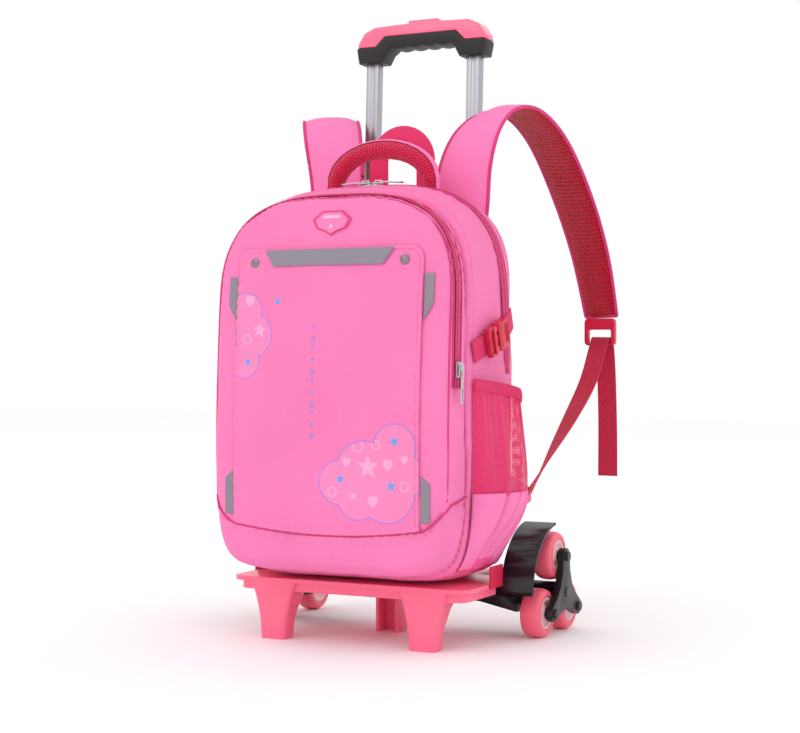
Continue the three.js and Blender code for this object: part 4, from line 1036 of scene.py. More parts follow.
def build_front(sets):
    """The flap, its stitches, the curved seam, the tape and the rivets."""
    def lay(u, v):
        x = (2 * u - 1) * FLAP["half"]
        z = lerp(flap_foot(x), flap_top(x), v)
        spot = on_front(x, z, FLAP["gap"])
        edge = min(FLAP["half"] - abs(x), flap_top(x) - z, z - flap_foot(x))
        puff = 0.0012 * ease(edge / 0.02) + 0.0010 * folds(spot, 0.10, 21)
        puff += 0.0007 * folds(spot, 0.03, 23, (1, 1, 0.5))
        pull = 0.00022 * (1 - ease(edge / 0.016)) * math.sin((x + z) * 2 * math.pi / 0.013)
        return spot - Vector((0, max(puff + pull, -0.0004), 0))
    bm = sheet_grid(150, 200, lay,
                    lambda u, v: ((2 * u - 1) * FLAP["half"], lerp(flap_foot(0), flap_top(0), v)))
    flap = finished(bm, "front_flap", sets["print"], "root", ("front_panel",))
    thickened(flap, FLAP["thickness"], 1)
    inset, lift = 0.0042, 0.0003
    points = []
    half, corner = FLAP["half"] - inset, FLAP["corner"]
    steps = 60
    for k in range(steps + 1):
        points.append((-half, lerp(flap_foot(half) + 0.004, FLAP["top"] - corner, k / steps)))
    for k in range(1, 9):
        turn = math.pi - k / 8 * math.pi / 2
        points.append((-half + (corner - inset) * (1 + math.cos(turn)),
                       FLAP["top"] - corner + (corner - inset) * math.sin(turn)))
    for k in range(1, steps):
        points.append((lerp(-half + corner, half - corner, k / steps), FLAP["top"] - inset))
    for k in range(8, 0, -1):
        turn = math.pi - k / 8 * math.pi / 2
        points.append((half - (corner - inset) * (1 + math.cos(turn)),
                       FLAP["top"] - corner + (corner - inset) * math.sin(turn)))
    for k in range(steps, -1, -1):
        points.append((half, lerp(flap_foot(half) + 0.004, FLAP["top"] - corner, k / steps)))
    laid = [on_front(x, z, FLAP["gap"] + FLAP["thickness"] + lift) for x, z in points]
    stitch_row("flap_stitches", laid, [Vector((0, -1, 0))] * len(laid), sets["thread"])
    seam = []
    for k in range(121):
        x = (2 * k / 120 - 1) * 0.145
        z = base_seam(x)
        proud = 0.0010 + 0.0008 * ease((abs(x) - FLAP["half"]) / 0.02)
        seam.append(world(x, front_skin(x, z) - proud, z))
    for sign in (-1, 1):
        start = front_skin(0.145, base_seam(0.145))
        wrap = [world(sign * lerp(0.1475, 0.1503, ease(4 * k / 20)), lerp(start, -0.004, k / 20),
                      lerp(0.165, 0.172, k / 20))
                for k in range(1, 21)]
        seam = seam + wrap if sign > 0 else wrap[::-1] + seam
    piping("base_seam_piping", seam, 0.0012, sets["piping"])
    lower = [p - Vector((0, 0, 0.006)) for p in seam[24:-24]]
    stitch_row("base_seam_stitches", lower, [Vector((0, -1, 0))] * len(lower), sets["thread"])
    # reflective tape: a trapezoid on the flap and four strips beside it
    strips = [("reflector_top", -0.081, 0.081, None, None)]
    for side, sign in SIDES:
        strips.append((f"reflector_upper_{side}", sign * 0.1175, sign * 0.1285, (0.362, 0.380),
                       (0.412, 0.412)))
        strips.append((f"reflector_lower_{side}", sign * 0.1175, sign * 0.1285, (0.145, 0.147),
                       (0.196, 0.187)))
    for node, start, end, low, high in strips:
        def tape(u, v):
            if low is None:
                half = lerp(0.069, 0.081, v)
                x, z = (2 * u - 1) * half, lerp(FLAP["top"] - 0.020, FLAP["top"] - 0.002, v)
                return on_front(x, z, FLAP["gap"] + FLAP["thickness"] + 0.0029)
            x = lerp(start, end, u)
            return on_front(x, lerp(lerp(low[0], low[1], u), lerp(high[0], high[1], u), v), 0.0012)
        width = abs(end - start)
        bm = sheet_grid(40, 16, tape, lambda u, v: (u * width, v * 0.05))
        if end < start:
            bmesh.ops.reverse_faces(bm, faces=bm.faces[:])
        strip = finished(bm, f"{node}_tape", sets["reflective"], "root", (node,))
        declare_sheet(strip, max(width, 0.0105))
        thickened(strip, 0.0006, 0, 0.0002)
    # dome rivets with a turned rim
    for side, sign in SIDES:
        low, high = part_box(f"rivet_{side}")
        centre = (low + high) / 2
        profile = [(0.0001, -0.0030), (0.0022, -0.0028), (0.0036, -0.0022), (0.0040, -0.0012),
                   (0.0046, -0.0016),
                   (0.0054, -0.0012), (0.0056, -0.0004), (0.0054, 0.0006)]
        bm = bmesh.new()
        verts = [bm.verts.new((r, d, 0)) for r, d in profile]
        edges = [bm.edges.new(pair) for pair in zip(verts, verts[1:])]
        bmesh.ops.spin(bm, geom=verts + edges, cent=(0, 0, 0), axis=(0, 1, 0), angle=2 * math.pi, steps=32,
                       use_merge=True)
        bmesh.ops.translate(bm, vec=(centre.x, high.y, centre.z), verts=bm.verts[:])
        outward(bm)
        finished(bm, f"rivet_{side}_dome", sets["rivet"], "root", (f"rivet_{side}",))


def build_badge(sets):
    """A plain rubber shield with a raised rim, a bar and a star."""
    low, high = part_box("badge")
    centre = (low + high) / 2
    outline_points = [(-0.013, 0.0135), (0.013, 0.0135), (0.0245, 0.004), (0.019, -0.006), (0.008, -0.010),
                      (0, -0.0145),
                      (-0.008, -0.010), (-0.019, -0.006), (-0.0245, 0.004)]
    def layer(name, scale, start, end, material, points=outline_points):
        bm = bmesh.new()
        face = bm.faces.new([bm.verts.new((x * scale, -start, z * scale)) for x, z in points])
        made = bmesh.ops.extrude_face_region(bm, geom=[face])["geom"]
        bmesh.ops.translate(bm, vec=(0, start - end, 0),
                            verts=[g for g in made if isinstance(g, bmesh.types.BMVert)])
        outward(bm)
        for vert in bm.verts:
            x, z = vert.co.x + centre.x, vert.co.z + centre.z
            vert.co = Vector((x, SEAM_Y + front_skin(x, z) + vert.co.y, z))
        piece = finished(bm, name, material, "root",
                         ("badge",) if name == "badge_back" else (), False)
        edge = piece.modifiers.new("edge", "BEVEL")
        edge.width, edge.segments = 0.0004, 3
    layer("badge_back", 1.0, -0.001, 0.0022, sets["badge_deep"])
    layer("badge_face", 0.84, 0.0020, 0.0030, sets["badge"])
    star = [((0.0042 if k % 2 == 0 else 0.0018) * math.sin(k * math.pi / 5),
             (0.0042 if k % 2 == 0 else 0.0018) * math.cos(k * math.pi / 5) - 0.004)
            for k in range(10)]
    layer("badge_star", 1.0, 0.0028, 0.0038, sets["badge_pale"], star)
    bar = [(-0.0105, 0.0085), (0.0105, 0.0085), (0.0115, 0.0045), (-0.0115, 0.0045)]
    layer("badge_bar", 1.0, 0.0028, 0.0037, sets["badge_pale"], bar)


# Side pockets

def pocket_hem(s):
    """Height of the pocket's hem, falling towards the back."""
    return SIDE_POCKET["hem"] - SIDE_POCKET["hem_drop"] * s


def pocket_back(z):
    """The pocket's rear edge, drawn in over the wheel guard."""
    rise = z - CLUSTER_CENTRE[1]
    if rise >= GUARD_REACH:
        return SIDE_POCKET["back"]
    return min(SIDE_POCKET["back"], CLUSTER_CENTRE[0] - math.sqrt(GUARD_REACH ** 2 - rise ** 2))


def pocket_point(s, z, bulge, lift=0.0):
    """A point of the side pocket, s from its front to its back edge."""
    depth = lerp(SIDE_POCKET["front"], pocket_back(z), s)
    out = side_skin(depth, z) + 0.0012 + bulge * math.sin(math.pi * clamp(s)) ** 0.7 + lift
    return world(out, depth, z)


def pocket_bulge(z):
    """How far the pocket stands off the bag, least at its foot."""
    up = clamp((z - SIDE_POCKET["bottom"]) / (SIDE_POCKET["join"] - SIDE_POCKET["bottom"]))
    over = clamp((z - SIDE_POCKET["join"]) / (SIDE_POCKET["hem"] - SIDE_POCKET["join"]))
    return lerp(lerp(0.003, 0.033, ease(up)), 0.019, ease(over) * 0.9)


def build_side_pockets(sets):
    """Net, pleated foot, hem and band of both side pockets."""
    for side, sign in SIDES:
        def net(u, v):
            z = lerp(SIDE_POCKET["join"] - 0.001, pocket_hem(u) - 0.002, v)
            gather = 0.0016 * v ** 1.5 * math.sin(u * 2 * math.pi * 17)
            gather += 0.0003 * (1 - v) ** 2 * math.sin(u * 2 * math.pi * 9)
            wander = 1.7 * v + 2.0 * folds(Vector((u, v, sign)), 0.5, 31)
            ripple = 0.0022 * math.sin(u * 2 * math.pi * 4.5 + wander)
            spot = pocket_point(u, z, pocket_bulge(z))
            calm = math.sin(math.pi * clamp(u)) ** 0.5
            return spot + Vector(((gather + ripple * (0.4 + 0.6 * math.sin(math.pi * v))) * calm, 0, 0))
        bm = mirrored_piece(lambda: sheet_grid(120, 90, net, lambda u, v: (u * 0.150, v * 0.125)), sign)
        piece = finished(bm, f"net_pocket_{side}", sets["net"], "root", (f"mesh_pocket_{side}",))

        def base(u, v):
            z = lerp(SIDE_POCKET["bottom"], SIDE_POCKET["join"] + 0.002, v)
            spot = pocket_point(u, z, pocket_bulge(z), 0.0006)
            deep = 0
            for centre, width, depth in ((0.25, 0.035, 0.014), (0.42, 0.025, 0.006), (0.58, 0.04, 0.018),
                                         (0.80, 0.03, 0.009)):
                lean = centre + 0.05 * (v - 0.5)
                fade = math.sin(math.pi * clamp(0.12 + 0.8 * (1 - v))) ** 0.8
                deep -= depth * bump_at(u, lean, width) * fade
            puff = 0.0025 * math.sin(math.pi * u * 3.4 + 0.7) * math.sin(math.pi * v)
            return spot + Vector(((deep + puff) * math.sin(math.pi * clamp(u)) ** 0.4, 0, 0))
        bm = mirrored_piece(lambda: sheet_grid(150, 60, base, lambda u, v: (u * 0.16, v * 0.08)), sign)
        piece = finished(bm, f"pocket_foot_{side}", sets["bag"], "root",
                         (f"pocket_base_{side}",))
        thickened(piece, 0.0012, 1)

        def hem(u, v):
            z = pocket_hem(u) - 0.011 + 0.013 * v
            spot = pocket_point(u, z, pocket_bulge(z), 0.0012)
            calm = math.sin(math.pi * clamp(u)) ** 0.5
            return spot + Vector((0.0011 * math.sin(u * 2 * math.pi * 34) * calm + 0.0010
                                  * math.sin(math.pi * v), 0, 0))
        bm = mirrored_piece(lambda: sheet_grid(170, 8, hem, lambda u, v: (v * 0.013, u * 0.15)), sign)
        piece = finished(bm, f"pocket_hem_{side}", sets["webbing"], "root")
        thickened(piece, 0.0014, 0)

        def band(u, v):
            z = SIDE_POCKET["bottom"] - 0.002 + 0.012 * v
            spot = pocket_point(u, z, pocket_bulge(z), 0.0014)
            return spot
        bm = mirrored_piece(lambda: sheet_grid(90, 6, band, lambda u, v: (v * 0.012, u * 0.13)), sign)
        piece = finished(bm, f"pocket_band_{side}", sets["piping_cloth"], "root")
        thickened(piece, 0.0010, 0)


# Webbing pieces

def flat_strap(name, node, rows, steps, material, thickness, sign, wave=0.0):
    """Webbing along a table of (x, depth, height, width, turn)."""
    points, widths, turns = smooth_path(rows, steps)
    frames = frames_along(points, turns)
    lengths = [0.0]
    for a, b in zip(points, points[1:]):
        lengths.append(lengths[-1] + (b - a).length)

    def lay(u, v):
        k = min(int(v * steps + 1e-6), steps - 1)
        t = v * steps - k
        a, b = frames[k], frames[k + 1]
        point, across, out = a[0].lerp(b[0], t), a[1].lerp(b[1], t), a[2].lerp(b[2], t)
        width = lerp(widths[k], widths[k + 1], t)
        return point + across * ((u - 0.5) * width) + out * (wave * math.sin(v * 21 + u * 2))
    bm = mirrored_piece(lambda: sheet_grid(10, steps, lay, lambda u, v: (u * widths[0], v * lengths[-1])),
                        sign)
    piece = finished(bm, name, material, "root", node)
    area_of(piece) / max(widths)
    thickened(piece, thickness, 0, 0.0003)
    return piece


def build_side_straps(sets):
    """The compression straps and the ties to the trolley."""
    for side, sign in SIDES:
        low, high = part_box(f"side_strap_{side}")
        front, back = low.y - SEAM_Y, high.y - SEAM_Y
        rows = []
        for k in range(7):
            depth = lerp(front, back, k / 6)
            z = lerp(0.327, 0.367, k / 6)
            rows.append((side_skin(clamp(depth, 0.006, 0.136), z) + 0.0022 + 0.0006 * math.sin(k), depth,
                         z))
        points = [world(*row) for row in rows]
        normals = [Vector((1, 0, 0))] * len(points)
        fine, out = [], []
        for k in range(49):
            t = k / 48 * (len(points) - 1)
            i = min(int(t), len(points) - 2)
            fine.append(points[i].lerp(points[i + 1], t - i))
            out.append(normals[i])
        bm = mirrored_piece(lambda: band_mesh(fine, out, lambda v: 0.024, 8), sign)
        piece = finished(bm, f"side_webbing_{side}", sets["webbing"], "root",
                         (f"side_strap_{side}",))
        declare_sheet(piece, 0.024)
        thickened(piece, 0.0018, 0, 0.0003)
        refined(f"tie_strap_{side}", sets["webbing_deep_plain"], 0.0003, 2)


# Handle and hanging loop

def build_handle(sets):
    """The rolled carry handle, its sleeve and the hanging loop."""
    steps = 90
    def path(s):
        return world(-0.063 * math.cos(math.pi * s), 0.088, 0.513 + 0.049 * math.sin(math.pi * s) ** 0.8)
    points = [path(k / steps) for k in range(steps + 1)]
    lengths = [0.0]
    for a, b in zip(points, points[1:]):
        lengths.append(lengths[-1] + (b - a).length)
    def roll(name, start, end, grow, material, replaced, half_turn=False):
        columns = 40
        def lay(u, v):
            k = min(int(v * steps), steps - 1)
            t = v * steps - k
            point = points[k].lerp(points[k + 1], t)
            tangent = (points[min(k + 2, steps)] - points[max(k - 1, 0)]).normalized()
            side = Vector((0, 1, 0))
            out = tangent.cross(side).normalized()
            if out.z < 0 and 0.2 < v < 0.8:
                out = -out
            angle = lerp(start, end, u)
            radius = 0.0105 * (1 - 0.25 * bump_at(v, 0, 0.16) - 0.25 * bump_at(v, 1, 0.16)) + grow
            radius += 0.0004 * math.sin(v * 2 * math.pi * 14) * (0.3 + bump_at(v, 0, 0.2)
                                                                 + bump_at(v, 1, 0.2))
            return point + (side * math.cos(angle) + out * math.sin(angle)) * radius
        bm = sheet_grid(columns, steps, lay, lambda u, v: (u * abs(end - start) * 0.011, v * lengths[-1]))
        if not half_turn:
            bmesh.ops.remove_doubles(bm, verts=bm.verts[:], dist=1e-5)
        bmesh.ops.recalc_face_normals(bm, faces=bm.faces[:])
        return finished(bm, name, material, "root", replaced)
    pad = roll("handle_roll", 0, 2 * math.pi, 0.0, sets["handle_mesh"], ("handle_pad",))
    bm = bmesh.new()
    bm.from_mesh(pad.data)
    bmesh.ops.holes_fill(bm, edges=[e for e in bm.edges if e.is_boundary], sides=0)
    bm.to_mesh(pad.data)
    bm.free()
    cover = roll("handle_sleeve", math.radians(-38), math.radians(118), 0.0009, sets["strap_cloth"],
                 ("handle_cover",), True)
    thickened(cover, 0.0012, 1, 0.0003)
    refined("hang_loop", sets["webbing_plain"], 0.0006, 2)


# Shoulder straps

def build_shoulder_straps(sets):
    """The padded straps with their binding, runners, adjusters and lower webbing."""
    steps = 120
    points, widths, turns = smooth_path(STRAP_PATH, steps)
    frames = frames_along(points, turns)
    lengths = [0.0]
    for a, b in zip(points, points[1:]):
        lengths.append(lengths[-1] + (b - a).length)

    def face(sign_out, rise, inset):
        def lay(u, v):
            k = min(int(v * steps + 1e-6), steps - 1)
            t = v * steps - k
            a, b = frames[k], frames[k + 1]
            point, across, out = a[0].lerp(b[0], t), a[1].lerp(b[1], t), a[2].lerp(b[2], t)
            width = lerp(widths[k], widths[k + 1], t) - inset
            crown = (1 - abs(2 * u - 1) ** 3.2) * rise
            end = ease(v / 0.03) * ease((1 - v) / 0.05)
            crease = 0.0011 * folds(point + across * u * 0.05, 0.035,
                                    41) + 0.0007 * math.sin(v * 95 + 3 * u) * bump_at(v, 0.42, 0.2)
            return point + across * ((u - 0.5) * width) + out * sign_out * (crown * (0.35 + 0.65 * end)
                + crease * (crown / max(rise, 1e-6)))
        return lay
    size = lambda u, v: ((u - 0.5) * 0.064, v * lengths[-1])
    out_sign = -1  # the outside of the strap lies against the frames' third vector
    for side, sign in SIDES:
        outer = mirrored_piece(lambda: sheet_grid(36, steps, face(out_sign, 0.0060, 0.002), size), sign)
        piece = finished(outer, f"strap_top_{side}", sets["strap_cloth"], "root",
                         (f"shoulder_strap_{side}",))
        inner = mirrored_piece(lambda: sheet_grid(36, steps, face(-out_sign, 0.0052, 0.002), size), sign)
        bmesh.ops.reverse_faces(inner, faces=inner.faces[:])
        under = finished(inner, f"strap_pad_{side}", sets["strap_mesh"], "root")
        rims = []
        for edge in (0.0, 1.0):
            rims.append([a[0] + a[1] * ((edge - 0.5) * (widths[k] - 0.001)) for k, a in enumerate(frames)])
        for name, line in zip(("inner", "outer"), rims):
            bm = mirrored_piece(lambda: tube_mesh(line, 0.0021, 10), sign)
            piece = finished(bm, f"strap_binding_{name}_{side}", sets["piping"], "root")
        closing = [rims[0][-1].lerp(rims[1][-1], k / 12) for k in range(13)]
        bm = mirrored_piece(lambda: tube_mesh(closing, 0.0021, 10), sign)
        finished(bm, f"strap_binding_end_{side}", sets["piping"], "root")
        # webbing sewn down the middle of the strap's outside
        down = []
        for k in range(76, steps + 1):
            point, across, out = frames[k]
            down.append((point + out * out_sign * 0.0078, across, out * out_sign))
        spots, ups = [d[0] for d in down], [d[2] for d in down]
        bm = mirrored_piece(lambda: band_mesh(spots, ups, lambda v: 0.024, 8), sign)
        piece = finished(bm, f"strap_runner_{side}", sets["webbing"], "root")
        declare_sheet(piece, 0.024)
        thickened(piece, 0.0016, 0, 0.0003)
        def tab(u, v):
            root = world(side_skin(0.120, 0.16) - 0.002, 0.122 + 0.002 * v, 0.142 + 0.046 * v)
            tip = world(0.1635, 0.142, 0.157 + 0.014 * v)
            return root.lerp(tip, u) + Vector((0.002 * math.sin(math.pi * u), 0, 0))
        bm = mirrored_piece(lambda: sheet_grid(12, 12, tab, lambda u, v: (u * 0.03, v * 0.04)), sign)
        piece = finished(bm, f"webbing_tab_{side}", sets["bag"], "root")
        thickened(piece, 0.0022, 0, 0.0004)
        refined(f"strap_buckle_{side}", sets["buckle_red"], 0.0010, 3)
        flat_strap(f"lower_webbing_{side}", (f"strap_webbing_{side}",), WEB_PATH, 130, sets["webbing_deep"],
                   0.0018,
                   sign, 0.0004)


# Sliders and buckles

def cast_piece(name, node, material, origin, along, out, plates, edge_width=0.0005):
    """A small casting of rounded plates: each is (along, across, out) of its centre, then its size, in mm."""
    across = out.cross(along)
    turn = Matrix((along, across, out)).transposed().to_4x4()
    bm = bmesh.new()
    for centre, size in plates:
        made = bmesh.ops.create_cube(bm, size=MM)["verts"]
        bmesh.ops.scale(bm, vec=size, verts=made)
        bmesh.ops.translate(bm, vec=[c * MM for c in centre], verts=made)
    bmesh.ops.transform(bm, matrix=Matrix.Translation(origin) @ turn, verts=bm.verts[:])
    bmesh.ops.recalc_face_normals(bm, faces=bm.faces[:])
    piece = finished(bm, name, material, "root", (node,))
    edge = piece.modifiers.new("edge", "BEVEL")
    edge.width, edge.segments = edge_width, 3
    return piece


SLIDER_PLATES = (
    # lower wing, upper wing, neck, bridge and its posts
    ((8.5, 0, 1.0), (17, 9, 1.6)), ((8.2, 0, 4.0), (15.5, 8, 1.5)), ((2.6, 0, 2.5), (4.5, 3, 3)),
    ((8.0, 0, 7.0), (10, 2.4, 1.3)), ((3.6, 0, 5.6), (1.6, 2.4, 2.6)), ((12.4, 0, 5.6), (1.6, 2.4, 2.6)),
    # link, shank and looped end of the pull
    ((14.0, 0, 5.9), (8, 3.4, 1.1)), ((23.0, 0, 5.6), (12, 4.6, 1.7)), ((23.0, 0, 6.5), (8, 2.4, 0.7)),
    ((36.0, 2.4, 5.6), (15, 1.5, 1.7)), ((36.0, -2.4, 5.6), (15, 1.5, 1.7)),
    ((44.0, 0, 5.6), (2, 6.3, 1.7)),
)
BUCKLE_PLATES = (
    # socket with its ridges and window frame
    ((-10, 0, 0), (26, 31, 9.5)), ((-20, 0, 5.0), (1.4, 22, 1.2)), ((-16.5, 0, 5.0), (1.4, 22, 1.2)),
    ((-13, 0, 5.0), (1.4, 22, 1.2)), ((-2.4, 0, 4.9), (2.2, 25, 1.1)),
    # prongs, tongue, shoulder and webbing bars of the clip
    ((7, 11.5, 0), (12, 6, 7)), ((7, -11.5, 0), (12, 6, 7)), ((7, 0, 0), (12, 7, 5)),
    ((13, 0, 0), (5, 32, 9)),
    ((20, 14.5, 0), (11, 3, 7)), ((20, -14.5, 0), (11, 3, 7)), ((18.6, 0, 0), (2.4, 28, 4.5)),
    ((24, 0, 0), (2.6, 32, 6)),
)


def build_fastenings(sets):
    """Zipper sliders and the side-release buckles"""
    low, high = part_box("front_slider")
    cast_piece("front_zip_slider", "front_slider", sets["chrome"],
               Vector((low.x - 0.0002, (low.y + high.y) / 2, high.z)), Vector((0, 0, -1)),
               Vector((1, 0, 0)), SLIDER_PLATES)
    for side, sign in SIDES:
        low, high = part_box(f"main_slider_{side}")
        start = low.x if sign > 0 else high.x
        along = Vector((sign, 0.0, -0.06)).normalized()
        out = (Vector((0, 0, 1)) - along * along.z).normalized()
        plates = [((a * 0.83, b, c), size) for (a, b, c), size in SLIDER_PLATES]
        cast_piece(f"main_zip_slider_{side}", f"main_slider_{side}", sets["chrome"],
                   Vector((start, (low.y + high.y) / 2, low.z - 0.0002)), along, out, plates)
        low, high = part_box(f"side_buckle_{side}")
        centre = (low + high) / 2
        along = Vector((0, 0.117, 0.040)).normalized()
        cast_piece(f"side_clip_{side}", f"side_buckle_{side}", sets["buckle_red"],
                   centre, along * -1, Vector((sign, 0, 0)), BUCKLE_PLATES, 0.0011)


# Trolley

def turned_ring(profile, centre_x, centre, steps=72):
    """A ring turned about X from (distance along the axle, radius) pairs."""
    bm = bmesh.new()
    verts = [bm.verts.new((x, r, 0)) for x, r in profile]
    edges = [bm.edges.new((verts[i], verts[(i + 1) % len(verts)])) for i in range(len(verts))]
    bmesh.ops.spin(bm, geom=verts + edges, cent=(0, 0, 0), axis=(1, 0, 0), angle=2 * math.pi, steps=steps,
                   use_merge=True)
    bmesh.ops.translate(bm, vec=(centre_x, centre.y, centre.z), verts=bm.verts[:])
    outward(bm)
    return bm


def body_holding(node):
    """The body that a node moves with."""
    return bpy.data.objects[node].get("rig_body") if node in bpy.data.objects else "root"


def build_wheels(sets):
    """Tyres, hubs and bearings, with their stars and brackets."""
    for side, sign in SIDES:
        for i in (1, 2, 3):
            low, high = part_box(f"tyre_{side}_{i}")
            centre = (low + high) / 2
            half, radius = (high.x - low.x) / 2, (high.z - low.z) / 2
            radius = max(radius, (high.y - low.y) / 2)
            tread = [(-half, 0.0185), (-half, 0.0215)]
            for k in range(9):
                turn = math.pi - k / 8 * math.pi
                tread.append((half * 0.97 * math.cos(turn),
                              radius - 0.0052 + 0.0052 * math.sin(turn) ** 0.7))
            tread += [(half, 0.0215), (half, 0.0185)]
            tyre = turned_ring(tread, centre.x, centre)
            finished(tyre, f"tyre_{side}_{i}_ring", sets["tyre"], body_holding(f"tyre_{side}_{i}"),
                     (f"tyre_{side}_{i}",))
            out = half - 0.0004
            rim = [(-out, 0.0046), (-out, 0.0070), (-out + 0.0030, 0.0085), (-out + 0.0042, 0.0128),
                   (-out + 0.0012, 0.0148),
                   (-out, 0.0158), (-out, 0.0182), (out, 0.0182), (out, 0.0158), (out - 0.0012, 0.0148),
                   (out - 0.0042, 0.0128), (out - 0.0030, 0.0085), (out, 0.0070), (out, 0.0046)]
            hub = turned_ring(rim, centre.x, centre)
            finished(hub, f"hub_{side}_{i}_disc", sets["hub"], body_holding(f"hub_{side}_{i}"),
                     (f"hub_{side}_{i}",))
            for face in (-1, 1):
                cap = turned_ring([(face * (out - 0.0006), 0.0048), (face * (out + 0.0003), 0.0050),
                                   (face * (out + 0.0003), 0.0068),
                                   (face * (out - 0.0006), 0.0072)], centre.x, centre, 40)
                finished(cap, f"bearing_{side}_{i}_{'in' if face * sign < 0 else 'out'}", sets["steel"],
                         body_holding(f"hub_{side}_{i}"))
        refined(f"star_{side}", sets["black"], 0.0011, 3)
        refined(f"wheel_bracket_{side}", sets["black"], 0.0008, 3)


def build_trolley(sets):
    """Base, poles and grip."""
    refined("cart_base", sets["coral"], 0.0012, 3)
    for side, _ in SIDES:
        refined(f"outer_pole_{side}", sets["aluminium"], 0.0006, 3)
        refined(f"inner_pole_{side}", sets["aluminium"], 0.0006, 3)
    refined("pole_bracket", sets["black"], 0.0010, 3)
    refined("grip_cover", sets["coral_grip"], 0.0018, 4)
    refined("grip_core", sets["black_grip"], 0.0014, 4)
    refined("grip_button", sets["coral_grip"], 0.0014, 4)


# Stage

LENS, SENSOR = 78.0, 36.0  # mm
CAMERA_PLACE = (0.939, -1.8495, 0.33)
CAMERA_LOOK = (-0.457, 0.889, 0)  # level direction of the view
CAMERA_PITCH = math.radians(-0.545)
LAMPS = (
    # name, place, aim, power in watts, width
    ("key", (-0.9, -2.4, 2.6), (0, 0, 0.3), 14, 1.8),
    ("fill", (2.6, -1.2, 1.2), (0, 0, 0.3), 3, 1.8),
    ("back", (0.6, 2.2, 2.4), (0, 0, 0.35), 6, 1.6),
)


def build_stage():
    """Floor, lights and camera."""
    bm = bmesh.new()
    bmesh.ops.create_grid(bm, x_segments=2, y_segments=2, size=6)
    mesh = bpy.data.meshes.new("floor")
    bm.to_mesh(mesh)
    bm.free()
    floor = bpy.data.objects.new("floor", mesh)
    bpy.context.scene.collection.objects.link(floor)
    finish = Finish("floor_paper")
    grain = finish.speckle(300.0, 3.0)
    mesh.materials.append(finish.done({"Base Color": finish.shade((0.985, 0.985, 0.985, 1),
                                                                  0.99 + 0.02 * grain), "Roughness": 0.9,
                                       "Normal": finish.relief(grain, 0.0001, 0.2)}))
    world_sky = bpy.data.worlds.new("studio")
    world_sky.use_nodes = True
    world_sky.node_tree.nodes["Background"].inputs[0].default_value = (1, 1, 1, 1)
    world_sky.node_tree.nodes["Background"].inputs[1].default_value = 1.0
    bpy.context.scene.world = world_sky
    for name, place, aim, power, size in LAMPS:
        lamp = bpy.data.lights.new(name, "AREA")
        lamp.energy, lamp.size = power, size
        holder = bpy.data.objects.new(name, lamp)
        holder.location = place
        holder.rotation_euler = (Vector(aim) - Vector(place)).to_track_quat("-Z", "Y").to_euler()
        bpy.context.scene.collection.objects.link(holder)
    camera = bpy.data.cameras.new("camera")
    camera.lens, camera.sensor_width = LENS, SENSOR
    camera.sensor_fit = "HORIZONTAL"
    holder = bpy.data.objects.new("camera", camera)
    bpy.context.scene.collection.objects.link(holder)
    holder.location = CAMERA_PLACE
    look = Vector(CAMERA_LOOK) * math.cos(CAMERA_PITCH) + Vector((0, 0, math.sin(CAMERA_PITCH)))
    holder.rotation_euler = look.to_track_quat("-Z", "Y").to_euler()
    bpy.context.scene.camera = holder
    bpy.context.scene.view_settings.view_transform = "Standard"


# Add-on

def colour_property(name, description, *screen):
    """A colour that a user may change, from screen values."""
    return bpy.props.FloatVectorProperty(name=name, description=description, subtype="COLOR", size=4, min=0,
                                         max=1,
                                         default=srgb(*screen))


def length_property(name, description, default):
    """A small length that a user may change."""
    return bpy.props.FloatProperty(name=name, description=description, default=default, min=0.0001, max=0.1,
                                   unit="LENGTH", subtype="DISTANCE")


class BackpackColours(bpy.types.PropertyGroup):
    """Colours of the cloth, webbing, plastic and print"""
    cloth: colour_property("Bag cloth", "Coated cloth of the bag", 248, 126, 184)
    strap_cloth: colour_property("Strap cloth", "Cloth on the outside of the straps", 250, 130, 190)
    piping: colour_property("Piping", "Corded edges of the front", 222, 62, 128)
    band: colour_property("Band", "Band round the foot of the side pockets", 244, 84, 150)
    zipper: colour_property("Zipper", "Zipper tape and teeth", 226, 58, 118)
    net: colour_property("Net", "Side pocket net", 250, 44, 116)
    handle_mesh: colour_property("Handle mesh", "Spacer mesh of the carry handle", 226, 26, 78)
    strap_mesh: colour_property("Strap mesh", "Spacer mesh under the straps", 196, 8, 44)
    webbing: colour_property("Webbing", "Webbing of the side straps and hems", 232, 50, 108)
    lower_webbing: colour_property("Lower webbing", "Webbing below the strap buckles", 206, 24, 68)
    buckle: colour_property("Buckles", "Plastic of the buckles", 208, 26, 62)
    coral: colour_property("Trolley plastic", "Base, legs and grip cover", 255, 108, 144)
    tyre: colour_property("Tyres", "Cast tyres of the wheels", 250, 102, 126)
    hub: colour_property("Hubs", "Pale wheel hubs", 250, 198, 208)
    print_pale: colour_property("Pale print", "Pale shapes of the print", 252, 176, 214)
    print_blue: colour_property("Blue print", "Small stars of the print", 70, 160, 240)
    print_line: colour_property("Print outline", "Outline and dots of the print", 168, 128, 212)


class BackpackSizes(bpy.types.PropertyGroup):
    """Sizes of the sewing, knit and weave"""
    thread: length_property("Thread", "Spacing of the threads of the bag's cloth", 0.0007)
    stitch: length_property("Stitch", "Length from one stitch to the next", 0.0034)
    tooth: length_property("Tooth", "Length from one zipper tooth to the next", 0.0026)
    net_cell: length_property("Net cell", "Width of one cell of the net", 0.0023)
    mesh_cell: length_property("Mesh cell", "Width of one hole of the spacer mesh", 0.0042)
    rib: length_property("Rib", "Spacing of the webbing's ribs", 0.0018)
    folds: bpy.props.FloatProperty(name="Folds",
                                   description="Depth of the cloth's soft folds, as a share of the usual",
                                   default=1.0, min=0.0, max=2.0, subtype="FACTOR")


FINISHES = {}


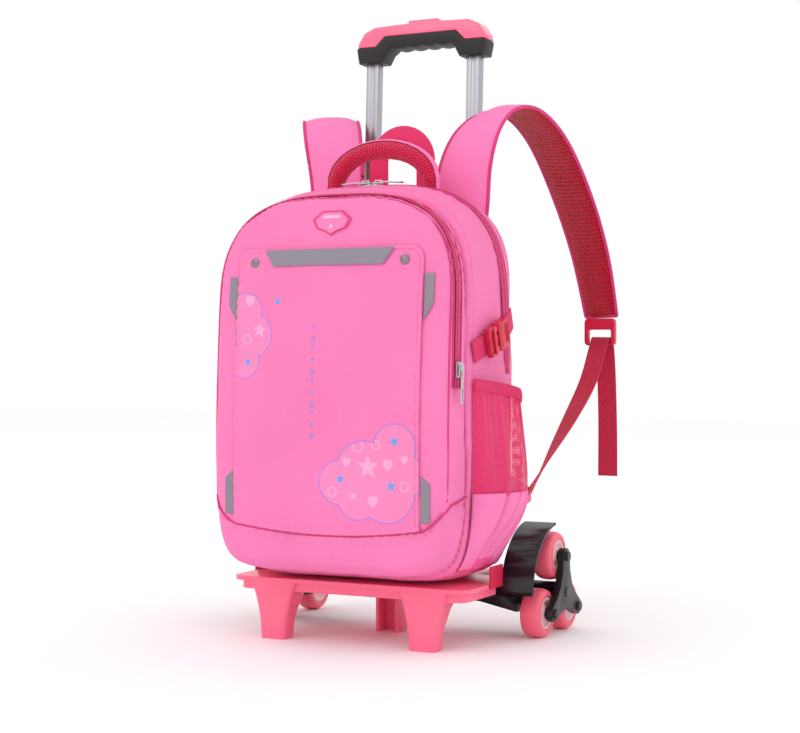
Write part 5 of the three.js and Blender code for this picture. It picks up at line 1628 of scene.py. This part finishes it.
def darker(colour, share):
    """The colour with a share of its light."""
    return tuple(value * share for value in colour[:3]) + (1.0,)


def finishes():
    """The finishes, made once from the scene's colours and sizes."""
    if FINISHES:
        return FINISHES
    colours, sizes = bpy.context.scene.backpack_colours, bpy.context.scene.backpack_sizes
    c = {name: tuple(getattr(colours, name)) for name in BackpackColours.__annotations__}
    deep = darker(c["cloth"], 0.93)
    FINISHES.update({
        "bag": woven_cloth("bag_cloth_finish", c["cloth"], deep, thread=sizes.thread),
        "strap_cloth": woven_cloth("strap_cloth_finish", c["strap_cloth"], darker(c["strap_cloth"], 0.94)),
        "print": printed_cloth("printed_cloth_finish", c["cloth"], deep, c["print_pale"], c["print_blue"],
                               c["print_line"]),
        "piping": woven_cloth("piping_finish", c["piping"], darker(c["piping"], 0.85)),
        "piping_cloth": woven_cloth("band_finish", c["band"], darker(c["band"], 0.9)),
        "thread": woven_cloth("thread_finish", c["band"], darker(c["band"], 0.8)),
        "zip_tape": zip_tape_cloth("zip_tape_finish", c["zipper"]),
        "zip_teeth": moulded("zip_teeth_finish", darker(c["zipper"], 0.9), 0.4),
        "net": net_cloth("net_finish", c["net"], sizes.net_cell),
        # the mesh colours at 0.4 and 0.45 of their light are painted shade for the insides of the holes
        "handle_mesh": air_mesh("handle_mesh_finish", c["handle_mesh"], darker(c["handle_mesh"], 0.4),
                                sizes.mesh_cell),
        "strap_mesh": air_mesh("strap_mesh_finish", c["strap_mesh"], darker(c["strap_mesh"], 0.45),
                               sizes.mesh_cell),
        "webbing": webbing_cloth("webbing_finish", c["webbing"], sizes.rib),
        "webbing_deep": webbing_cloth("lower_webbing_finish", c["lower_webbing"], sizes.rib),
        "webbing_plain": woven_cloth("loop_finish", c["webbing"], darker(c["webbing"], 0.9)),
        "webbing_deep_plain": woven_cloth("tie_finish", c["lower_webbing"],
                                          darker(c["lower_webbing"], 0.9)),
        "buckle_red": moulded("buckle_finish", c["buckle"], 0.3),
        "reflective": reflective_tape("reflective_finish", srgb(140, 132, 143)),
        "rivet": plated("rivet_finish", srgb(150, 138, 144), 0.2),
        "chrome": plated("chrome_finish", srgb(205, 200, 204)),
        "steel": plated("steel_finish", srgb(120, 104, 108), 0.3),
        "badge": moulded("badge_finish", darker(c["cloth"], 0.95), 0.45),
        "badge_deep": moulded("badge_edge_finish", c["piping"], 0.45),
        "badge_pale": moulded("badge_pale_finish", c["print_pale"], 0.4),
        "coral": moulded("coral_finish", c["coral"], 0.33, 0.35, 0.15),
        "coral_grip": moulded("coral_grip_finish", c["coral"], 0.3, 0.3, 0.2),
        "black": moulded("black_finish", srgb(22, 16, 18), 0.36),
        "black_grip": moulded("black_grip_finish", srgb(20, 15, 17), 0.5, 0.8),
        "tyre": urethane("tyre_finish", c["tyre"]),
        "hub": moulded("hub_finish", c["hub"], 0.3),
        "aluminium": drawn_metal("aluminium_finish", srgb(176, 173, 179)),
    })
    return FINISHES


class BACKPACK_OT_stage(bpy.types.Operator):
    """Lays the floor, sets the lights and the camera"""
    bl_idname = "backpack.stage"
    bl_label = "Stage"

    def execute(self, context):
        build_stage()
        return {"FINISHED"}


class BACKPACK_OT_compartments(bpy.types.Operator):
    """Sews the main and front compartments with their folds"""
    bl_idname = "backpack.compartments"
    bl_label = "Compartments"

    def execute(self, context):
        build_compartments(finishes())
        return {"FINISHED"}


class BACKPACK_OT_zippers(bpy.types.Operator):
    """Sets the zippers, their welts and the body's seam"""
    bl_idname = "backpack.zippers"
    bl_label = "Zippers"

    def execute(self, context):
        build_zippers(finishes())
        return {"FINISHED"}


class BACKPACK_OT_front(bpy.types.Operator):
    """Adds the printed flap, curved seam, reflective tape and rivets"""
    bl_idname = "backpack.front"
    bl_label = "Front flap"

    def execute(self, context):
        build_front(finishes())
        return {"FINISHED"}


class BACKPACK_OT_badge(bpy.types.Operator):
    """Adds the plain rubber badge"""
    bl_idname = "backpack.badge"
    bl_label = "Badge"

    def execute(self, context):
        build_badge(finishes())
        return {"FINISHED"}


class BACKPACK_OT_side_pockets(bpy.types.Operator):
    """Gathers the net pockets onto their pleated feet"""
    bl_idname = "backpack.side_pockets"
    bl_label = "Side pockets"

    def execute(self, context):
        build_side_pockets(finishes())
        return {"FINISHED"}


class BACKPACK_OT_side_straps(bpy.types.Operator):
    """Adds the compression straps and ties"""
    bl_idname = "backpack.side_straps"
    bl_label = "Side straps"

    def execute(self, context):
        build_side_straps(finishes())
        return {"FINISHED"}


class BACKPACK_OT_handle(bpy.types.Operator):
    """Rolls the padded handle and adds the hanging loop"""
    bl_idname = "backpack.handle"
    bl_label = "Carry handle"

    def execute(self, context):
        build_handle(finishes())
        return {"FINISHED"}


class BACKPACK_OT_shoulder_straps(bpy.types.Operator):
    """Pads and binds the shoulder straps and hangs their webbing"""
    bl_idname = "backpack.shoulder_straps"
    bl_label = "Shoulder straps"

    def execute(self, context):
        build_shoulder_straps(finishes())
        return {"FINISHED"}


class BACKPACK_OT_fastenings(bpy.types.Operator):
    """Casts the zipper sliders and clips the side buckles"""
    bl_idname = "backpack.fastenings"
    bl_label = "Sliders and buckles"

    def execute(self, context):
        build_fastenings(finishes())
        return {"FINISHED"}


class BACKPACK_OT_trolley(bpy.types.Operator):
    """Finishes the base, poles, pole bracket and grip"""
    bl_idname = "backpack.trolley"
    bl_label = "Trolley"

    def execute(self, context):
        build_trolley(finishes())
        return {"FINISHED"}


class BACKPACK_OT_wheels(bpy.types.Operator):
    """Turns the tyres and hubs and finishes their stars and brackets"""
    bl_idname = "backpack.wheels"
    bl_label = "Wheels"

    def execute(self, context):
        build_wheels(finishes())
        return {"FINISHED"}


OPERATORS = (
    BACKPACK_OT_stage,
    BACKPACK_OT_compartments,
    BACKPACK_OT_zippers,
    BACKPACK_OT_front,
    BACKPACK_OT_badge,
    BACKPACK_OT_side_pockets,
    BACKPACK_OT_side_straps,
    BACKPACK_OT_handle,
    BACKPACK_OT_shoulder_straps,
    BACKPACK_OT_fastenings,
    BACKPACK_OT_trolley,
    BACKPACK_OT_wheels,
)


class BACKPACK_PT_panel(bpy.types.Panel):
    """Lists the pieces of the backpack in the order that they are made"""
    bl_idname = "BACKPACK_PT_panel"
    bl_label = "Wheeled backpack"
    bl_space_type = "VIEW_3D"
    bl_region_type = "UI"
    bl_category = "Backpack"

    def draw(self, context):
        for operator in OPERATORS:
            self.layout.operator(operator.bl_idname)
        for group in (context.scene.backpack_colours, context.scene.backpack_sizes):
            column = self.layout.column()
            for name in group.__annotations__:
                column.prop(group, name)


CLASSES = (BackpackColours, BackpackSizes) + OPERATORS + (BACKPACK_PT_panel,)


def register():
    """Adds the classes and the scene properties."""
    for each in CLASSES:
        bpy.utils.register_class(each)
    bpy.types.Scene.backpack_colours = bpy.props.PointerProperty(type=BackpackColours)
    bpy.types.Scene.backpack_sizes = bpy.props.PointerProperty(type=BackpackSizes)


def unregister():
    """Takes the classes and the scene properties away."""
    del bpy.types.Scene.backpack_sizes
    del bpy.types.Scene.backpack_colours
    for each in reversed(CLASSES):
        bpy.utils.unregister_class(each)


def main():
    """Makes the whole backpack."""
    register()
    for operator in OPERATORS:
        group, name = operator.bl_idname.split(".")
        getattr(getattr(bpy.ops, group), name)()
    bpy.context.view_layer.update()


if __name__ == "__main__":
    main()
